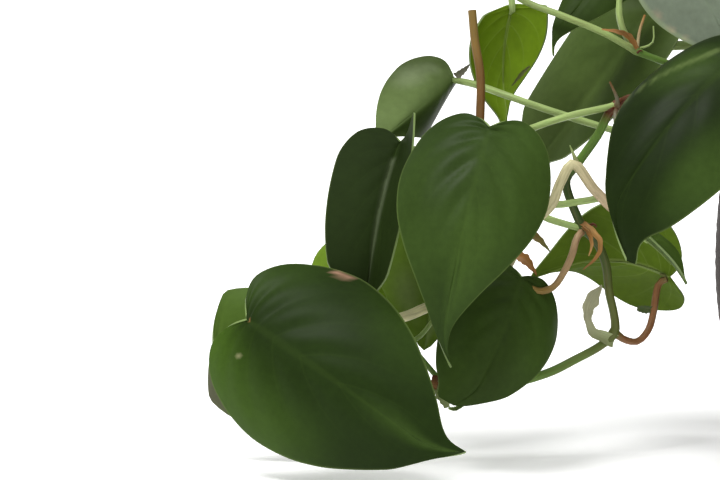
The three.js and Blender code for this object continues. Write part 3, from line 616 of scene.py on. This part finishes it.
upper_skin = blade_skin("blade_upper", "upper", paint(84, 108, 44), rib_share=0.05, vein_share=0.03,
                        gloss=0.36, depth=-0.3)
under_skin = blade_skin("blade_under", "under", paint(150, 166, 96), rib_share=0.4, vein_share=0.14,
                        gloss=0.5, depth=0.4)
margin_skin, tree, shader = new_material("blade_margin")
feed(tree, shader, {"Base Color": mottled(tree, MARGIN_EDGE, scale=90.0, depth=0.5)["Colour"],
                    "Roughness": 0.5})

# Dry sheaths, which wrapped each young leaf, stay at some nodes as papery strips under half a millimetre
# thick. Each is joined to the stem where it grew and curls away from it. The margin of the young leaf that
# dries into a narrow strip is made in the same way.
SHEATH_GRID = (22, 8)
SHEATH_HALF_THICKNESS = 0.22
SHEATH_RAGGED = 0.12
PAPER_WELD = 0.004
PAPER = paint(148, 148, 118)
GREEN_PAPER = paint(140, 152, 104)
TAN_PAPER = paint(196, 150, 92)
GREY_HUSK = paint(104, 104, 86)


def add_sheath(mesh, points, widths, face, tints, curl=0.5):
    tint = mesh.verts.layers.float_color["tint"]
    grain = mesh.loops.layers.uv["UVMap"]
    path = Route(points)
    made = []
    for side in (1, -1):
        grid = unit_grid(mesh, *SHEATH_GRID)
        for corner in grid:
            along = corner.co.x + 0.5
            across = corner.co.y * 2
            forward = path.heading(along)
            up = Vector(face)
            up = (up - forward * up.dot(forward)).normalized()
            half = float(np.interp(along, np.linspace(0, 1, len(widths)), widths)) / 2
            half *= 1 + SHEATH_RAGGED * math.sin(31 * along) * across
            lift = SHEATH_HALF_THICKNESS * side * (1 - across**8) + curl * half * across**2
            corner[tint] = tint_at(tints, along)
            corner.co = path.at(along) + up.cross(forward) * half * across + up * lift
            for loop in corner.link_loops:
                loop[grain].uv = (along / 4, across / 2)
        if side < 0:
            faces = {face for corner in grid for face in corner.link_faces}
            bmesh.ops.reverse_faces(mesh, faces=list(faces))
        made += grid
    bmesh.ops.remove_doubles(mesh, verts=made, dist=PAPER_WELD)


# A leafy stem is grown whole: each blade sits on the end of its petiole, and a raised rib runs on under the
# blade. The stalks and the blades of a stem are two pieces, because their skins differ.
# How far under its blade a petiole ends, in the solids and in the finer pieces.
SOLID_PETIOLE_END = (-0.9, -0.7)
FINE_PETIOLE_END = (-1.7, -1.5)
RIB_RADIUS = 0.6


def petiole_route(stem, leaf, blade, depths=SOLID_PETIOLE_END):
    """From a node to the blade's base and on, close under the blade."""
    ends = [blade.at(0, 0, depths[0]), blade.at(0.3, 0, depths[1])]
    return Route([stem["path"].at(leaf["node"]), *leaf["petiole"], *ends])


def grow(stem):
    """One leafy stem's two pieces: its blades, and its stem with the petioles, stubs and sheaths."""
    blades, stalks = bmesh.new(), bmesh.new()
    for layer in ("upper", "under"):
        blades.verts.layers.float_color.new(layer)
    stalks.verts.layers.float_color.new("tint")
    for mesh in (blades, stalks):
        mesh.loops.layers.uv.new("UVMap")
    nodes = [leaf["node"] for leaf in stem["leaves"]]
    tints = [(point / (len(stem["path"].points) - 1), colour) for point, colour in stem["tints"]]
    add_stalk(stalks, stem["path"], stem["radius"], tints, nodes=nodes)
    for leaf in stem["leaves"]:
        blade = Blade(**leaf)
        add_blade(blades, leaf, blade)
        add_stalk(stalks, petiole_route(stem, leaf, blade, FINE_PETIOLE_END),
                  leaf.get("petiole_radius", PETIOLE_RADIUS),
                  leaf.get("petiole_tints", [(0, OLIVE), (0.3, SHOOT)]),
                  sides=8, nodes=[0], thin_from=0.8, thin_end=0.35)
        rib = Vector(leaf.get("under", PALE_UNDER)).lerp(Vector(SHOOT), leaf.get("rib", 0.4))
        add_stalk(stalks, Route([blade.at(along / 5, 0, -1) for along in range(1, 5)]), RIB_RADIUS,
                  [(0, rib)], sides=6, thin_end=0.2)
    for strip in stem.get("sheaths", ()):
        add_sheath(stalks, **strip)
    for stub in stem.get("stubs", ()):
        add_stalk(stalks, Route(stub["points"]), **{key: stub[key] for key in stub if key != "points"})
    stalk_piece = finished(stem["name"] + "_stalks", stalks, [stalk_skin])
    blade_piece = finished(stem["name"] + "_blades", blades, [upper_skin, under_skin, margin_skin])
    wall = blade_piece.modifiers.new("thickness", "SOLIDIFY")
    wall.thickness = BLADE_THICKNESS * MM
    wall.offset = 0
    wall.material_offset = 1
    wall.material_offset_rim = 2
    apply_modifiers(blade_piece, sharp=50)
    for piece in (stalk_piece, blade_piece):
        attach(piece, "root")
        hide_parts(stem["name"])


# The thin pale green vine leans over the rim and runs across the top of the others. It carries the young
# yellow-green leaf, whose margin has begun to curl and dry, and four more above it.
pale_vine = dict(
    name="leafy_stem_01",
    radius=1.25,
    tints=[(3, OLIVE), (3.5, GRASS), (5.9, GRASS), (6.2, TENDER), (8, TENDER), (9.5, VINE)],
    path=Route([
        *foot(-54, 2), (-64, -4, 129), (-80, -8, 136), (-101, -12, 144), (-111, -12, 148),
        (-124, -10, 155), (-139, -6, 161), (-152, 0, 166), (-168, 6, 177), (-182, 10, 193),
    ]),
    leaves=[
        dict(
            node=6 / 11,
            petiole=[(-116, -6, 156), (-117, -2, 166), (-115, 4, 182)],
            base=(-112, 6, 183), tip=(-141, -6, 146), face=(-0.4, -1, 0.4),
            width=0.48, flick=0.1,
        ),
        dict(
            node=10 / 11,
            petiole=[(-176, 14, 190), (-166, 22, 192), (-158, 20, 180)],
            base=(-154.9, 16, 163.5), tip=(-159.1, 4, 118.8), face=(0.25, 1, -0.1),
            width=0.68, lobe=0, taper=1.44, skew=-0.6, acumen=0.44, fold_left=-26, fold_right=14,
            arch=29, bend=70, bow=0.107, flick=0.072,
            under=YOUNG_LEAF, rib=0.12, fine=True,
        ),
        dict(
            node=1,
            petiole=[(-190, 12, 206)],
            base=(-197, 14, 222), tip=(-262, -8, 198), face=(-0.3, -0.3, 1),
        ),
        dict(
            node=0.96,
            petiole=[(-176, 24, 200), (-168, 36, 212)],
            base=(-160, 46, 220), tip=(-146, 104, 196), face=(-0.1, 0.3, 1),
        ),
        dict(
            node=4 / 11,
            petiole=[(-84, 2, 152), (-88, 12, 172)],
            base=(-92, 22, 196), tip=(-136, 56, 214), face=(-0.5, 0.1, 1),
        ),
    ],
    sheaths=[
        dict(points=[(-111, -13, 149), (-114, -14, 153), (-118, -15, 155), (-124, -14, 156)],
             widths=[1.5, 2.6, 1.8, 0.4], face=(0, -1, 0.5),
             tints=[(0, GOLDEN), (0.6, UMBER), (1, GOLDEN)]),
        dict(points=[(-148.9, 10, 141.3), (-152.2, 9.6, 138.2), (-155.5, 10, 134)], widths=[0.8, 1.6, 0.4],
             face=(0.2, -1, 0), tints=[(0, OLIVE)]),
    ],
    stubs=[
        dict(points=[(-111, -12, 148), (-110, -10, 155), (-108, -9, 161)], thickness=0.7, thin_end=0.6,
             tints=[(0, STRAW), (1, GOLDEN)]),
        dict(points=[(-110, -11, 149), (-107, -13, 150), (-105, -12, 152), (-105, -10, 157)],
             thickness=0.5, thin_end=0.5, tints=[(0, SHOOT)]),
        dict(points=[(-111, -13.4, 147.4), (-110, -14, 148.4), (-109, -13.2, 148)],
             thickness=0.5, thin_end=0.3, tints=[(0, NODE_BROWN)]),
    ],
)
grow(pale_vine)

# The beige vine comes over the rim, dips behind the middle heart and ends at the large front leaf. Behind
# that it carries a half hidden leaf, a narrow dark one, a pale one and a small curled one. The upright brown
# stub is what is left of an old petiole.
beige_vine = dict(
    name="leafy_stem_02",
    radius=1.9,
    # The cream stretch is the stem's pale colour, made lighter still as painted light where the middle heart
    # shades it.
    tints=[(6, OLIVE), (7, BLUSH), (9, STRAW), (12, STRAW), (13, CREAM_AND_PAINTED_LIGHT), (16, CREAM_AND_PAINTED_LIGHT), (19, SHOOT)],
    path=Route([
        *foot(-50, -24), (-60, -26, 131), (-76, -28, 134), (-92, -29, 118), (-106, -30, 97),
        (-117, -31, 91), (-127, -34, 99), (-135, -36, 109), (-140, -37, 102), (-143, -34, 94),
        (-152, -30, 84), (-161, -24, 67), (-175, -22, 60), (-187, -25, 56), (-196, -30, 53),
        (-212, -37, 50), (-224, -43, 50),
    ]),
    leaves=[
        dict(
            node=1,
            petiole=[(-236, -52, 56), (-247, -62, 59)],
            base=(-251, -70, 57), tip=(-175, -96, 14.4), face=(-0.15, -1, 0.35),
            width=0.84, lobe=1.2, taper=0.78, acumen=0.39, fold_left=3, fold_right=-5, arch=29,
            bend=45, twist=4, flick=0.07,
            upper=FRONT_LEAF, fine=True, quilt=1.3, marks=[
                (0.2, -0.9, 0.34, BRIGHT_LEAF, 0.8), (0.45, -0.9, 0.3, BRIGHT_LEAF, 0.6),
                (0.2, 0.85, 0.26, BRIGHT_LEAF, 0.3), (0.62, 0.95, 0.2, BRIGHT_LEAF, 0.2),
                (0.95, 0, 0.22, MID_LEAF, 0.7),
                (0.42, 0.93, 0.026, SCAR, 1), (0.395, 0.96, 0.022, SCAR, 1), (0.15, 0.03, 0.03, RUST, 0.9),
                (0.32, -0.4, 0.016, STRAW, 0.35), (0.47, -0.42, 0.01, STRAW, 0.5),
            ],
        ),
        dict(
            node=17 / 18,
            petiole=[(-228, -34, 47), (-248, -31, 44)],
            base=(-264.6, -28, 42.6), tip=(-204.4, -38, 33), face=(-0.1, -1, 0.1),
            width=0.8, lobe=0.15, fold_left=6.6, fold_right=3.3, arch=18, bend=27, bow=-0.044,
            flick=-0.027,
            upper=FRESH_LEAF, marks=[(0.3, -0.9, 0.28, DUSTY, 1), (0.15, -0.6, 0.2, DUSTY, 0.8)],
        ),
        dict(
            node=7 / 18,
            petiole=[(-123, -30, 96), (-131, -29, 95), (-144, -30, 94), (-166, -21, 98), (-186, -18, 110)],
            petiole_tints=[(0, GRASS), (0.1, SHOOT)],
            base=(-197.1, -20, 115.5), tip=(-211, -49.7, 58.1), face=(0.12, -1, 0.24),
            width=0.58, lobe=0.8, taper=0.3, skew=0.38, acumen=0.65, fold_left=83, fold_right=7.8,
            curl=19, arch=8, bend=47, twist=-4.3, bow=-0.05, flick=-0.03,
            upper=DEEP_LEAF, fine=True, quilt=0.3,
            marks=[
                # These pale grey-green marks along the midrib are a painted sheen stripe.
                *[(0.42 + 0.035 * step, 0.02, 0.04, SHEEN_STRIPE, 0.36) for step in range(16)],
                (0.2, 0.85, 0.12, SAGE_LEAF, 0.6),
            ],
        ),
        dict(
            node=5 / 18,
            petiole=[
                (-96, -20, 118), (-106, -15, 116), (-119, -10, 119), (-142, -8, 126),
                (-157, -4, 131), (-169, 7, 134.6),
            ],
            petiole_tints=[(0, SHOOT)],
            base=(-177.2, 16, 136.8), tip=(-204.4, -9, 114.3), face=(0.26, -0.81, 0.54),
            width=0.87, lobe=1.24, taper=0.94, skew=0.41, acumen=0, fold_left=-46.5, fold_right=0,
            curl=-27.7, arch=20, bend=29, twist=4, bow=0.025, flick=0.014,
            upper=PALE_SHEENED_LEAF, fine=True, quilt=0.3,
            # This leaf's pale grey-green is partly painted sheen. The dark marks are painted shade on the
            # half that folds back, and the two pale marks are painted sheen on the lit half.
            marks=[
                (0.25, 0.55, 0.3, DARK_LEAF, 1), (0.45, 0.55, 0.32, DARK_LEAF, 1),
                (0.65, 0.5, 0.32, DARK_LEAF, 1), (0.85, 0.5, 0.3, DARK_LEAF, 1),
                (0.5, -0.65, 0.16, PALE_MARGIN_AND_SHEEN, 0.7), (0.36, -0.5, 0.12, PALE_MARGIN_AND_SHEEN, 0.5),
            ],
        ),
        dict(
            node=6 / 18,
            petiole=[(-107, -37, 90)],
            petiole_radius=0.9,
            base=(-109, -40, 83), tip=(-95, -46, 67), face=(0.7, -0.3, 0.5),
            width=0.6, fold_left=50, fold_right=50,
            upper=FRESH_LEAF,
        ),
    ],
    sheaths=[
        dict(points=[(-176, 14, 137), (-173, 14, 139.5), (-170.7, 15, 141.8)], widths=[3, 2, 0.3],
             face=(0, -1, 0.2), tints=[(0, GREY_HUSK)]),
        dict(points=[(-153, -30, 83), (-148, -32, 82), (-143, -34, 77)], widths=[2, 3, 0.3],
             face=(0, -1, 0.3), tints=[(0, UMBER), (1, OLIVE)]),
        dict(points=[(-156, -31, 76), (-152, -34, 74), (-148, -37, 69)], widths=[3, 4, 0.3],
             face=(0, -1, 0.3), tints=[(0, GOLDEN), (1, UMBER)]),
    ],
    stubs=[
        dict(points=[(-160, -24, 68), (-163, -28, 92), (-168, -28, 115), (-168, -22, 138),
                     (-170, -18, 152), (-171, -16, 163)],
             thickness=1.6, tints=[(0.6, BARK_BROWN), (0.85, OCHRE)]),
    ],
)
grow(beige_vine)

# The green vine turns to and fro on its way down between the leaves. It carries the middle heart, the dark
# leaf under it, a thin leaf that shows its underside and one leaf behind, and most of the dry sheaths and
# stubs grew on it.
zigzag_vine = dict(
    name="leafy_stem_03",
    radius=1.65,
    tints=[(5, OLIVE), (5.6, NODE_BROWN), (6.3, NODE_BROWN), (6.6, GRASS), (8, GRASS),
           (8.6, MOSS), (12, MOSS), (14, OLIVE), (16, OLIVE), (20, GRASS), (21, UMBER), (22, NODE_BROWN)],
    path=Route([
        *foot(-44, -12), (-58, -15, 134), (-78, -19, 139), (-103, -22, 133), (-119, -23, 129),
        (-126, -24, 118), (-133, -24, 108), (-137, -21, 101), (-133, -20, 89), (-130, -20, 84),
        (-125, -18, 78), (-122, -18, 70), (-121, -18, 61), (-119, -18, 52), (-119, -18, 46),
        (-124, -18, 41), (-133, -18, 36), (-144, -20, 31), (-161, -24, 27), (-172, -26, 28),
        (-184, -28, 30),
    ]),
    leaves=[
        dict(
            node=6 / 22,
            petiole=[(-125, -26, 128), (-136, -32, 126), (-144, -36, 124), (-151, -42, 122),
                     (-159, -50, 120)],
            petiole_tints=[(0, SHOOT)],
            base=(-165.9, -55, 123.5), tip=(-179.7, -74, 41), face=(0, -1, 0.15),
            width=0.66, lobe=0.86, taper=1.44, skew=0.09, acumen=0, fold_left=2, fold_right=-3, arch=28,
            bend=64, twist=-9, bow=-0.008, flick=0.056,
            # The lighter marks are painted light that evens out the shading of the lamp from the left.
            upper=SATIN_LEAF, fine=True, quilt=1.7, marks=[
                (0.4, 0.7, 0.4, MID_LEAF, 1), (0.75, 0.3, 0.35, MID_LEAF, 0.9),
                (0.6, -0.9, 0.3, MID_LEAF, 0.5),
            ],
        ),
        dict(
            node=11 / 22,
            petiole=[(-133, -23, 81), (-135, -26, 75), (-138, -28, 69), (-142, -31, 64), (-148, -34, 63)],
            petiole_tints=[(0, UMBER), (0.12, SANDY), (0.35, SANDY), (0.65, OCHRE)],
            base=(-153.5, -34, 67.9), tip=(-178.4, -52, 24.2), face=(0, -1, 0.2),
            width=0.87, lobe=0.93, taper=0.41, skew=0.37, acumen=0.18, fold_left=-4.6, fold_right=8.3,
            arch=29.4, bend=49.5, bow=0.022, flick=-0.09,
            fine=True, marks=[(0.5, 0.75, 0.4, MID_LEAF, 1), (0.7, -0.5, 0.3, MID_LEAF, 0.6)],
        ),
        dict(
            node=16 / 22,
            petiole=[(-115, -16, 43), (-110, -13, 42), (-106, -11, 46), (-104, -8, 52),
                     (-102, -5, 62)],
            petiole_tints=[(0, OLIVE), (0.1, RUST), (0.7, RUST), (0.9, OLIVE)],
            base=(-98, -4, 64.8), tip=(-149.1, -8, 64.7), face=(0, 1, 0.3),
            width=1.04, lobe=0.97, taper=1.63, skew=-0.56, acumen=0, fold_left=12, fold_right=52, arch=20,
            bend=33, twist=-6.6, bow=0.125, flick=0.04,
            under=THIN_LEAF, fine=True,
        ),
        dict(
            node=11 / 22,
            petiole=[(-138, -20, 86), (-146, -19, 89), (-160, -12, 98), (-172, -2, 108)],
            petiole_tints=[(0, SHOOT)],
            base=(-180, 2, 105), tip=(-188, -8, 38), face=(0, -1, 0.2),
            width=0.8, taper=0.6,
            upper=MEADOW_LEAF, marks=[(0.8, -0.6, 0.14, SAGE_LEAF, 0.8), (0.93, 0.3, 0.16, SAGE_LEAF, 0.9)],
        ),
    ],
    sheaths=[
        dict(points=[(-131, -22, 86), (-128, -26, 84), (-125, -27, 80), (-126, -28, 75), (-131, -28, 70)],
             widths=[2.4, 2.4, 2, 1.4, 0.4], face=(0.3, -1, 0.2),
             tints=[(0, UMBER), (0.3, TAN_PAPER), (0.7, GOLDEN), (1, UMBER)]),
        dict(points=[(-131, -24, 85), (-129, -27, 83), (-128, -28, 79), (-129, -28, 75)],
             widths=[1.6, 2, 1.2, 0.3], face=(0.3, -1, 0.2),
             tints=[(0, UMBER), (0.4, GOLDEN), (1, TAN_PAPER)]),
        dict(points=[(-119, -18, 43), (-127, -23, 47), (-129, -24, 53), (-128, -25, 58), (-124, -24, 64)],
             widths=[5, 4, 2.6, 4, 5.6, 0.5], face=(0, -1, 0),
             tints=[(0, GREEN_PAPER), (0.4, PAPER)]),
        dict(points=[(-184.5, -29, 30), (-182, -32, 25), (-180, -33, 20.5)], widths=[3.4, 5, 2],
             face=(0.2, -1, 0), tints=[(0, GREY_HUSK), (0.3, GREEN_PAPER)]),
        dict(points=[(-184.6, -31, 32), (-184.8, -32, 29), (-184, -32, 27)], widths=[1.6, 3, 0.6],
             face=(0.2, -1, 0), tints=[(0, NODE_BROWN), (0.5, RUST), (1, UMBER)]),
        dict(points=[(-180, -48, 22.4), (-177.5, -48, 22), (-174, -47, 23.6)], widths=[1.2, 2.4, 1],
             face=(0, -0.6, 1), tints=[(0, SHOOT), (1, GRASS)]),
        dict(points=[(-110, -8, 53.5), (-107, -8, 53), (-103.4, -8, 53)], widths=[2, 3, 2],
             face=(0, -1, 0.2), tints=[(0, MOSS)]),
    ],
    stubs=[
        dict(points=[(-119, -24, 127), (-119, -28, 131), (-120, -29, 134), (-122, -30, 138)], thickness=1,
             thin_end=0.3, tints=[(0, UMBER), (0.4, GREY_HUSK), (1, UMBER)]),
        dict(points=[(-119, -25, 128), (-120, -30, 126), (-120, -32, 121), (-121, -34, 114)], thickness=1,
             thin_end=0.3, tints=[(0, NODE_BROWN), (0.4, GREY_HUSK)]),
        dict(points=[(-117, -22, 130), (-121, -25, 128), (-125, -25, 127)], thickness=1, thin_end=0.3,
             tints=[(0, NODE_BROWN)]),
        dict(points=[(-119, -22, 129), (-116, -26, 132), (-114, -27, 133)], thickness=1.2, thin_end=0.4,
             tints=[(0, NODE_BROWN)]),
        dict(points=[(-133, -24, 107), (-134, -27, 110), (-136, -27, 115)], thickness=1.5, thin_end=0.1,
             tints=[(0, STRAW), (1, SHOOT)]),
        dict(points=[(-183, -27, 30), (-192, -28, 42), (-188.6, -28, 47), (-184, -28, 53)], thickness=1,
             thin_end=0.8, tints=[(0, GRASS), (1, SHOOT)]),
        dict(points=[(-130, -20, 84), (-127, -22, 86), (-126, -23, 85)], thickness=0.8, thin_end=0.4,
             tints=[(0, NODE_BROWN)]),
    ],
)
grow(zigzag_vine)

# The short stem stands up at the front left of the pot. It carries the large dark leaf, which hangs forward
# on a short petiole, and the grey-green one above it.
dark_leaved_stem = dict(
    name="leafy_stem_04",
    radius=1.9,
    tints=[(0, OLIVE), (7, SHOOT)],
    path=Route([
        *foot(-36, -38), (-40, -43, 134), (-48, -48, 148), (-56, -50, 160), (-62, -48, 174),
    ]),
    leaves=[
        dict(
            node=5 / 7,
            petiole=[(-60, -54, 160), (-70, -57, 156)],
            base=(-77.7, -62, 149.1), tip=(-119.3, -88, 79.9), face=(0, -1, 0.3),
            width=0.7, lobe=1.32, taper=0.75, skew=-0.56, fold_left=30, fold_right=-11, arch=35.6,
            bend=44.6, bow=-0.043, flick=0.15,
            # The lighter patches and the row of pale marks near the upper margin are painted light and a
            # painted sheen line.
            upper=DARKEST_LEAF, fine=True, quilt=0.5, groove=0.12, marks=[
                (0.42, -0.4, 0.22, MID_LEAF, 0.6), (0.65, 0.85, 0.24, MID_LEAF, 0.8),
                *[(0.3 + 0.025 * step, -0.36 - 0.0006 * step**3, 0.03, SAGE_LEAF, 0.5) for step in range(11)],
            ],
        ),
        dict(
            node=1,
            petiole=[(-74, -42, 184), (-90, -34, 192)],
            base=(-100, -30, 189), tip=(-75, -46, 141), face=(-0.2, -1, 0.5),
            width=0.75, fine=True,
            # This leaf's grey-green is partly a painted sheen of reflected sky. Pale marks and a few blush
            # marks run along its margin.
            upper=GREY_SHEEN_LEAF, marks=[
                *[(0.46 + 0.03 * step, -0.97, 0.03, PALE_MARGIN_AND_SHEEN, 0.6) for step in range(9)],
                (0.55, -0.88, 0.03, BLUSH, 0.3), (0.62, -0.93, 0.025, BLUSH, 0.35),
                (0.68, -0.92, 0.02, BLUSH, 0.3),
            ],
        ),
    ],
)
grow(dark_leaved_stem)

# The hind vine runs behind all the others. It carries the long leaf that hangs behind them and ends at a
# small bright leaf.
hind_vine = dict(
    name="leafy_stem_05",
    radius=1.8,
    tints=[(0, OLIVE), (5, SHOOT), (11, OLIVE)],
    path=Route([
        *foot(-40, 22), (-56, 30, 136), (-82, 38, 147), (-114, 40, 142), (-136, 40, 118),
        (-148, 36, 108), (-159, 32, 101), (-185, 27, 79), (-197, 24, 66),
    ]),
    leaves=[
        dict(
            node=4 / 10,
            petiole=[(-92, 38, 160)],
            base=(-99.9, 26, 165.6), tip=(-146.1, 36, 101.3), face=(-0.2, -1, 0.5),
            width=0.62, taper=0.32, skew=0.47, acumen=0.42, fold_left=68, arch=28.6, bend=47, bow=0.036,
            # The lighter patch is painted sheen; the darker patches make the leaf darker towards its other
            # margin.
            upper=OLD_LEAF, fine=True, quilt=0.5, groove=0.15, marks=[
                (0.5, 0.85, 0.4, DARK_LEAF, 0.5), (0.7, 0.8, 0.4, DARK_LEAF, 0.4),
                (0.55, -0.4, 0.35, MID_LEAF, 0.4),
            ],
        ),
        dict(
            node=1,
            petiole=[(-200, 22, 74)],
            base=(-208.2, 14, 72.7), tip=(-223.3, 8, 36.1), face=(0, -1, 0.2),
            width=0.88, bow=-0.027,
            # Its bright yellow-green is partly painted light.
            upper=LIME_AND_PAINTED_LIGHT_LEAF,
        ),
    ],
)
grow(hind_vine)
left_stems = [pale_vine, beige_vine, zigzag_vine, dark_leaved_stem, hind_vine]

# The other eight stems arch out of the pot on all the other sides. Their leaves are placed by the same draws
# and the same rule as in the solids: each leaf is drawn again until it hangs clear of all that stands
# already, of the pot, and of what it stands on.
OTHER_STEMS = [
    dict(hole=(-22, 44), heading=106, crest=215, reach=140, sway=12, end=84, leaves=4),
    dict(hole=(8, 46), heading=72, crest=222, reach=175, sway=-16, end=48, leaves=5),
    dict(hole=(40, 30), heading=30, crest=214, reach=185, sway=15, end=62, leaves=5),
    dict(hole=(48, -6), heading=-14, crest=206, reach=190, sway=-14, end=36, leaves=5),
    dict(hole=(30, -38), heading=-52, crest=212, reach=165, sway=14, end=60, leaves=5),
    dict(hole=(-6, -46), heading=-80, crest=198, reach=120, sway=-12, end=84, leaves=4),
    dict(hole=(-10, 8), heading=150, crest=250, reach=60, sway=8, end=250, leaves=5),
    dict(hole=(16, 2), heading=-20, crest=260, reach=60, sway=-8, end=265, leaves=5),
]
ARCH_UP = [(0.01, 0.16), (0.13, 0.62), (0.36, 0.88)]
ARCH_DOWN = [(0.6, 0.3), (0.82, 0.68), (1, 1)]
PETIOLE_LIFT = 4
LAST_ASIDE = 0.3
FIRST_NODE = 0.42
CLEARANCE = 9
STEM_CLEARANCE = 7
PETIOLE_CLEARANCE = 5
POT_CLEARANCE = 6
SURFACE_CLEARANCE = 6
OPEN_SIDE = -62
OPEN_SLOPE = -0.07
TRIES = 200
MATURE = [(0, MOSS), (5, OLIVE), (8, SHOOT)]

leaf_draws = draws(4127)


def drawn(low, high):
    return low + (high - low) * next(leaf_draws)


def arching(hole, heading, crest, reach, sway, end, **rest):
    """The route of a stem that rises from its hole to a crest and comes down further out."""
    out = math.radians(heading)

    def at(share, height):
        aside = sway * math.sin(5 * share)
        return (hole[0] + share * reach * math.cos(out) - aside * math.sin(out),
                hole[1] + share * reach * math.sin(out) + aside * math.cos(out), height)

    return Route(foot(*hole)
                 + [at(share, SOIL_LEVEL + rise * (crest - SOIL_LEVEL)) for share, rise in ARCH_UP]
                 + [at(share, crest - fall * (crest - end)) for share, fall in ARCH_DOWN])


def blade_probes(blade):
    return [blade.at(row / 8, column / 3) for row in range(9) for column in range(-3, 4)]


def touches(probes, others, distance):
    gaps = np.array(probes)[:, None, :] - np.array(others)[None, :, :]
    return bool(((gaps**2).sum(axis=2) < distance**2).any())


def is_free(probe):
    clear_of_pot = (probe.z > POT_HEIGHT + POT_CLEARANCE
                    or math.hypot(probe.x, probe.y) > POT_BELLY_RADIUS + POT_CLEARANCE)
    return probe.z > SURFACE_CLEARANCE and clear_of_pot and probe.x > OPEN_SIDE + OPEN_SLOPE * probe.y


def leaf_try(stem, node, side):
    """A leaf at a node, with its petiole's length, rise and turn and its blade's hang and form drawn."""
    start = stem["path"].at(node)
    along = stem["path"].heading(node)
    aside = side * (1 if node < 1 else LAST_ASIDE)
    heading = math.atan2(along.y, along.x) + aside * math.radians(drawn(35, 105))
    out = Vector((math.cos(heading), math.sin(heading), 0))
    petiole = drawn(34, 60)
    rise = drawn(-6, 30)
    middle = start + 0.5 * petiole * out + Vector((0, 0, 0.75 * rise + PETIOLE_LIFT))
    base = start + petiole * out + Vector((0, 0, rise))
    turn = heading + math.radians(drawn(-30, 30))
    droop = math.radians(drawn(15, 75))
    chord = drawn(56, 86)
    hang = Vector((math.cos(turn) * math.cos(droop), math.sin(turn) * math.cos(droop), -math.sin(droop)))
    roll = drawn(-0.4, 0.4)
    face = (math.cos(turn) * math.sin(droop) - roll * math.sin(turn),
            math.sin(turn) * math.sin(droop) + roll * math.cos(turn), math.cos(droop))
    return dict(node=node, petiole=[middle], base=base, tip=base + chord * hang, face=face,
                width=drawn(0.68, 0.8), bend=drawn(14, 40), arch=drawn(16, 34), bow=drawn(-0.03, 0.03))


stem_marks, leaf_marks = [], []
for stem in left_stems:
    stem_marks += [stem["path"].at(i / 40) for i in range(41)]
    for leaf in stem["leaves"]:
        blade = Blade(**leaf)
        leaf_marks += blade_probes(blade)
        route = petiole_route(stem, leaf, blade)
        leaf_marks += [route.at(i / 8) for i in range(9)]
other_stems = []
for number, form in enumerate(OTHER_STEMS, len(left_stems) + 1):
    stem = dict(name=f"leafy_stem_{number:02d}", radius=STEM_RADIUS, path=arching(**form), leaves=[],
                tints=MATURE, count=form["leaves"])
    stem_marks += [stem["path"].at(i / 60) for i in range(9, 61)]
    other_stems.append(stem)
for stem in other_stems:
    for i in range(stem["count"]):
        node = FIRST_NODE + (1 - FIRST_NODE) * i / (stem["count"] - 1)
        for attempt in range(TRIES):
            leaf = leaf_try(stem, node, 1 if i % 2 else -1)
            blade = Blade(**leaf)
            probes = blade_probes(blade)
            if not all(is_free(probe) for probe in probes):
                continue
            route = petiole_route(stem, leaf, blade)
            petiole_marks = [route.at(j / 12) for j in range(13)]
            if (touches(probes, stem_marks, STEM_CLEARANCE) or touches(probes, leaf_marks, CLEARANCE)
                    or touches(petiole_marks, leaf_marks, STEM_CLEARANCE)
                    or touches(petiole_marks[3:], stem_marks, PETIOLE_CLEARANCE)):
                continue
            stem["leaves"].append(leaf)
            leaf_marks += probes + petiole_marks
            break
shades = draws(2203)
for stem in other_stems:
    for leaf in stem["leaves"]:
        fresh = next(shades)
        leaf["upper"] = Vector(DARK_LEAF).lerp(Vector(FRESH_LEAF), fresh**2)
        leaf["under"] = Vector(PALE_UNDER).lerp(Vector(YOUNG_LEAF), 0.4 * fresh)
    grow(stem)

# The part stands on a plain pale floor, which glows a little so that the shadows stay faint. Soft white
# light comes from all round, and two large lamps stand above, in front of the plant.
FLOOR_HALF = 9000
FLOOR_WHITE = (0.93, 0.93, 0.93, 1)
WHITE = (1, 1, 1, 1)
mesh = bmesh.new()
bmesh.ops.create_grid(mesh, x_segments=1, y_segments=1, size=FLOOR_HALF)
floor_paint, tree, shader = new_material("pale_floor")
feed(tree, shader, {"Base Color": FLOOR_WHITE, "Roughness": 0.9, "Emission Color": WHITE,
                    "Emission Strength": 0.3})
floor = finished("studio_floor", mesh, [floor_paint])

world = bpy.data.worlds.new("studio")
world.use_nodes = True
feed(world.node_tree, world.node_tree.nodes["Background"], {"Color": WHITE, "Strength": 0.5})
bpy.context.scene.world = world


def soft_light(name, side, strength, spread):
    """A large far lamp, so that the floor is lit evenly as far as it is seen."""
    light = bpy.data.lights.new(name, "SUN")
    light.energy = strength
    light.angle = math.radians(spread)
    lamp = bpy.data.objects.new(name, light)
    lamp.location = side
    lamp.rotation_euler = Vector(side).to_track_quat("Z", "Y").to_euler()
    bpy.context.scene.collection.objects.link(lamp)


soft_light("key_light", side=(-0.35, -0.25, 1), strength=2.6, spread=25)
soft_light("top_light", side=(0.15, -0.4, 1), strength=1.2, spread=80)

bpy.context.scene.view_settings.view_transform = "Standard"

# The camera stands 1.4 m off, a little above the plant, on a long lens. It aims at the leaves that trail
# to the left of the pot.
CAMERA_AWAY = 1.4
TILT = math.radians(6)
AIM = Vector((-0.2115, -0.03, 0.081))
lens = bpy.data.cameras.new("camera")
lens.lens = 194.45
lens.sensor_width = 36
lens.clip_end = 100
camera = bpy.data.objects.new("camera", lens)
camera.location = AIM + CAMERA_AWAY * Vector((0, -math.cos(TILT), math.sin(TILT)))
camera.rotation_euler = (math.pi / 2 - TILT, 0, 0)
bpy.context.scene.collection.objects.link(camera)
bpy.context.scene.camera = camera
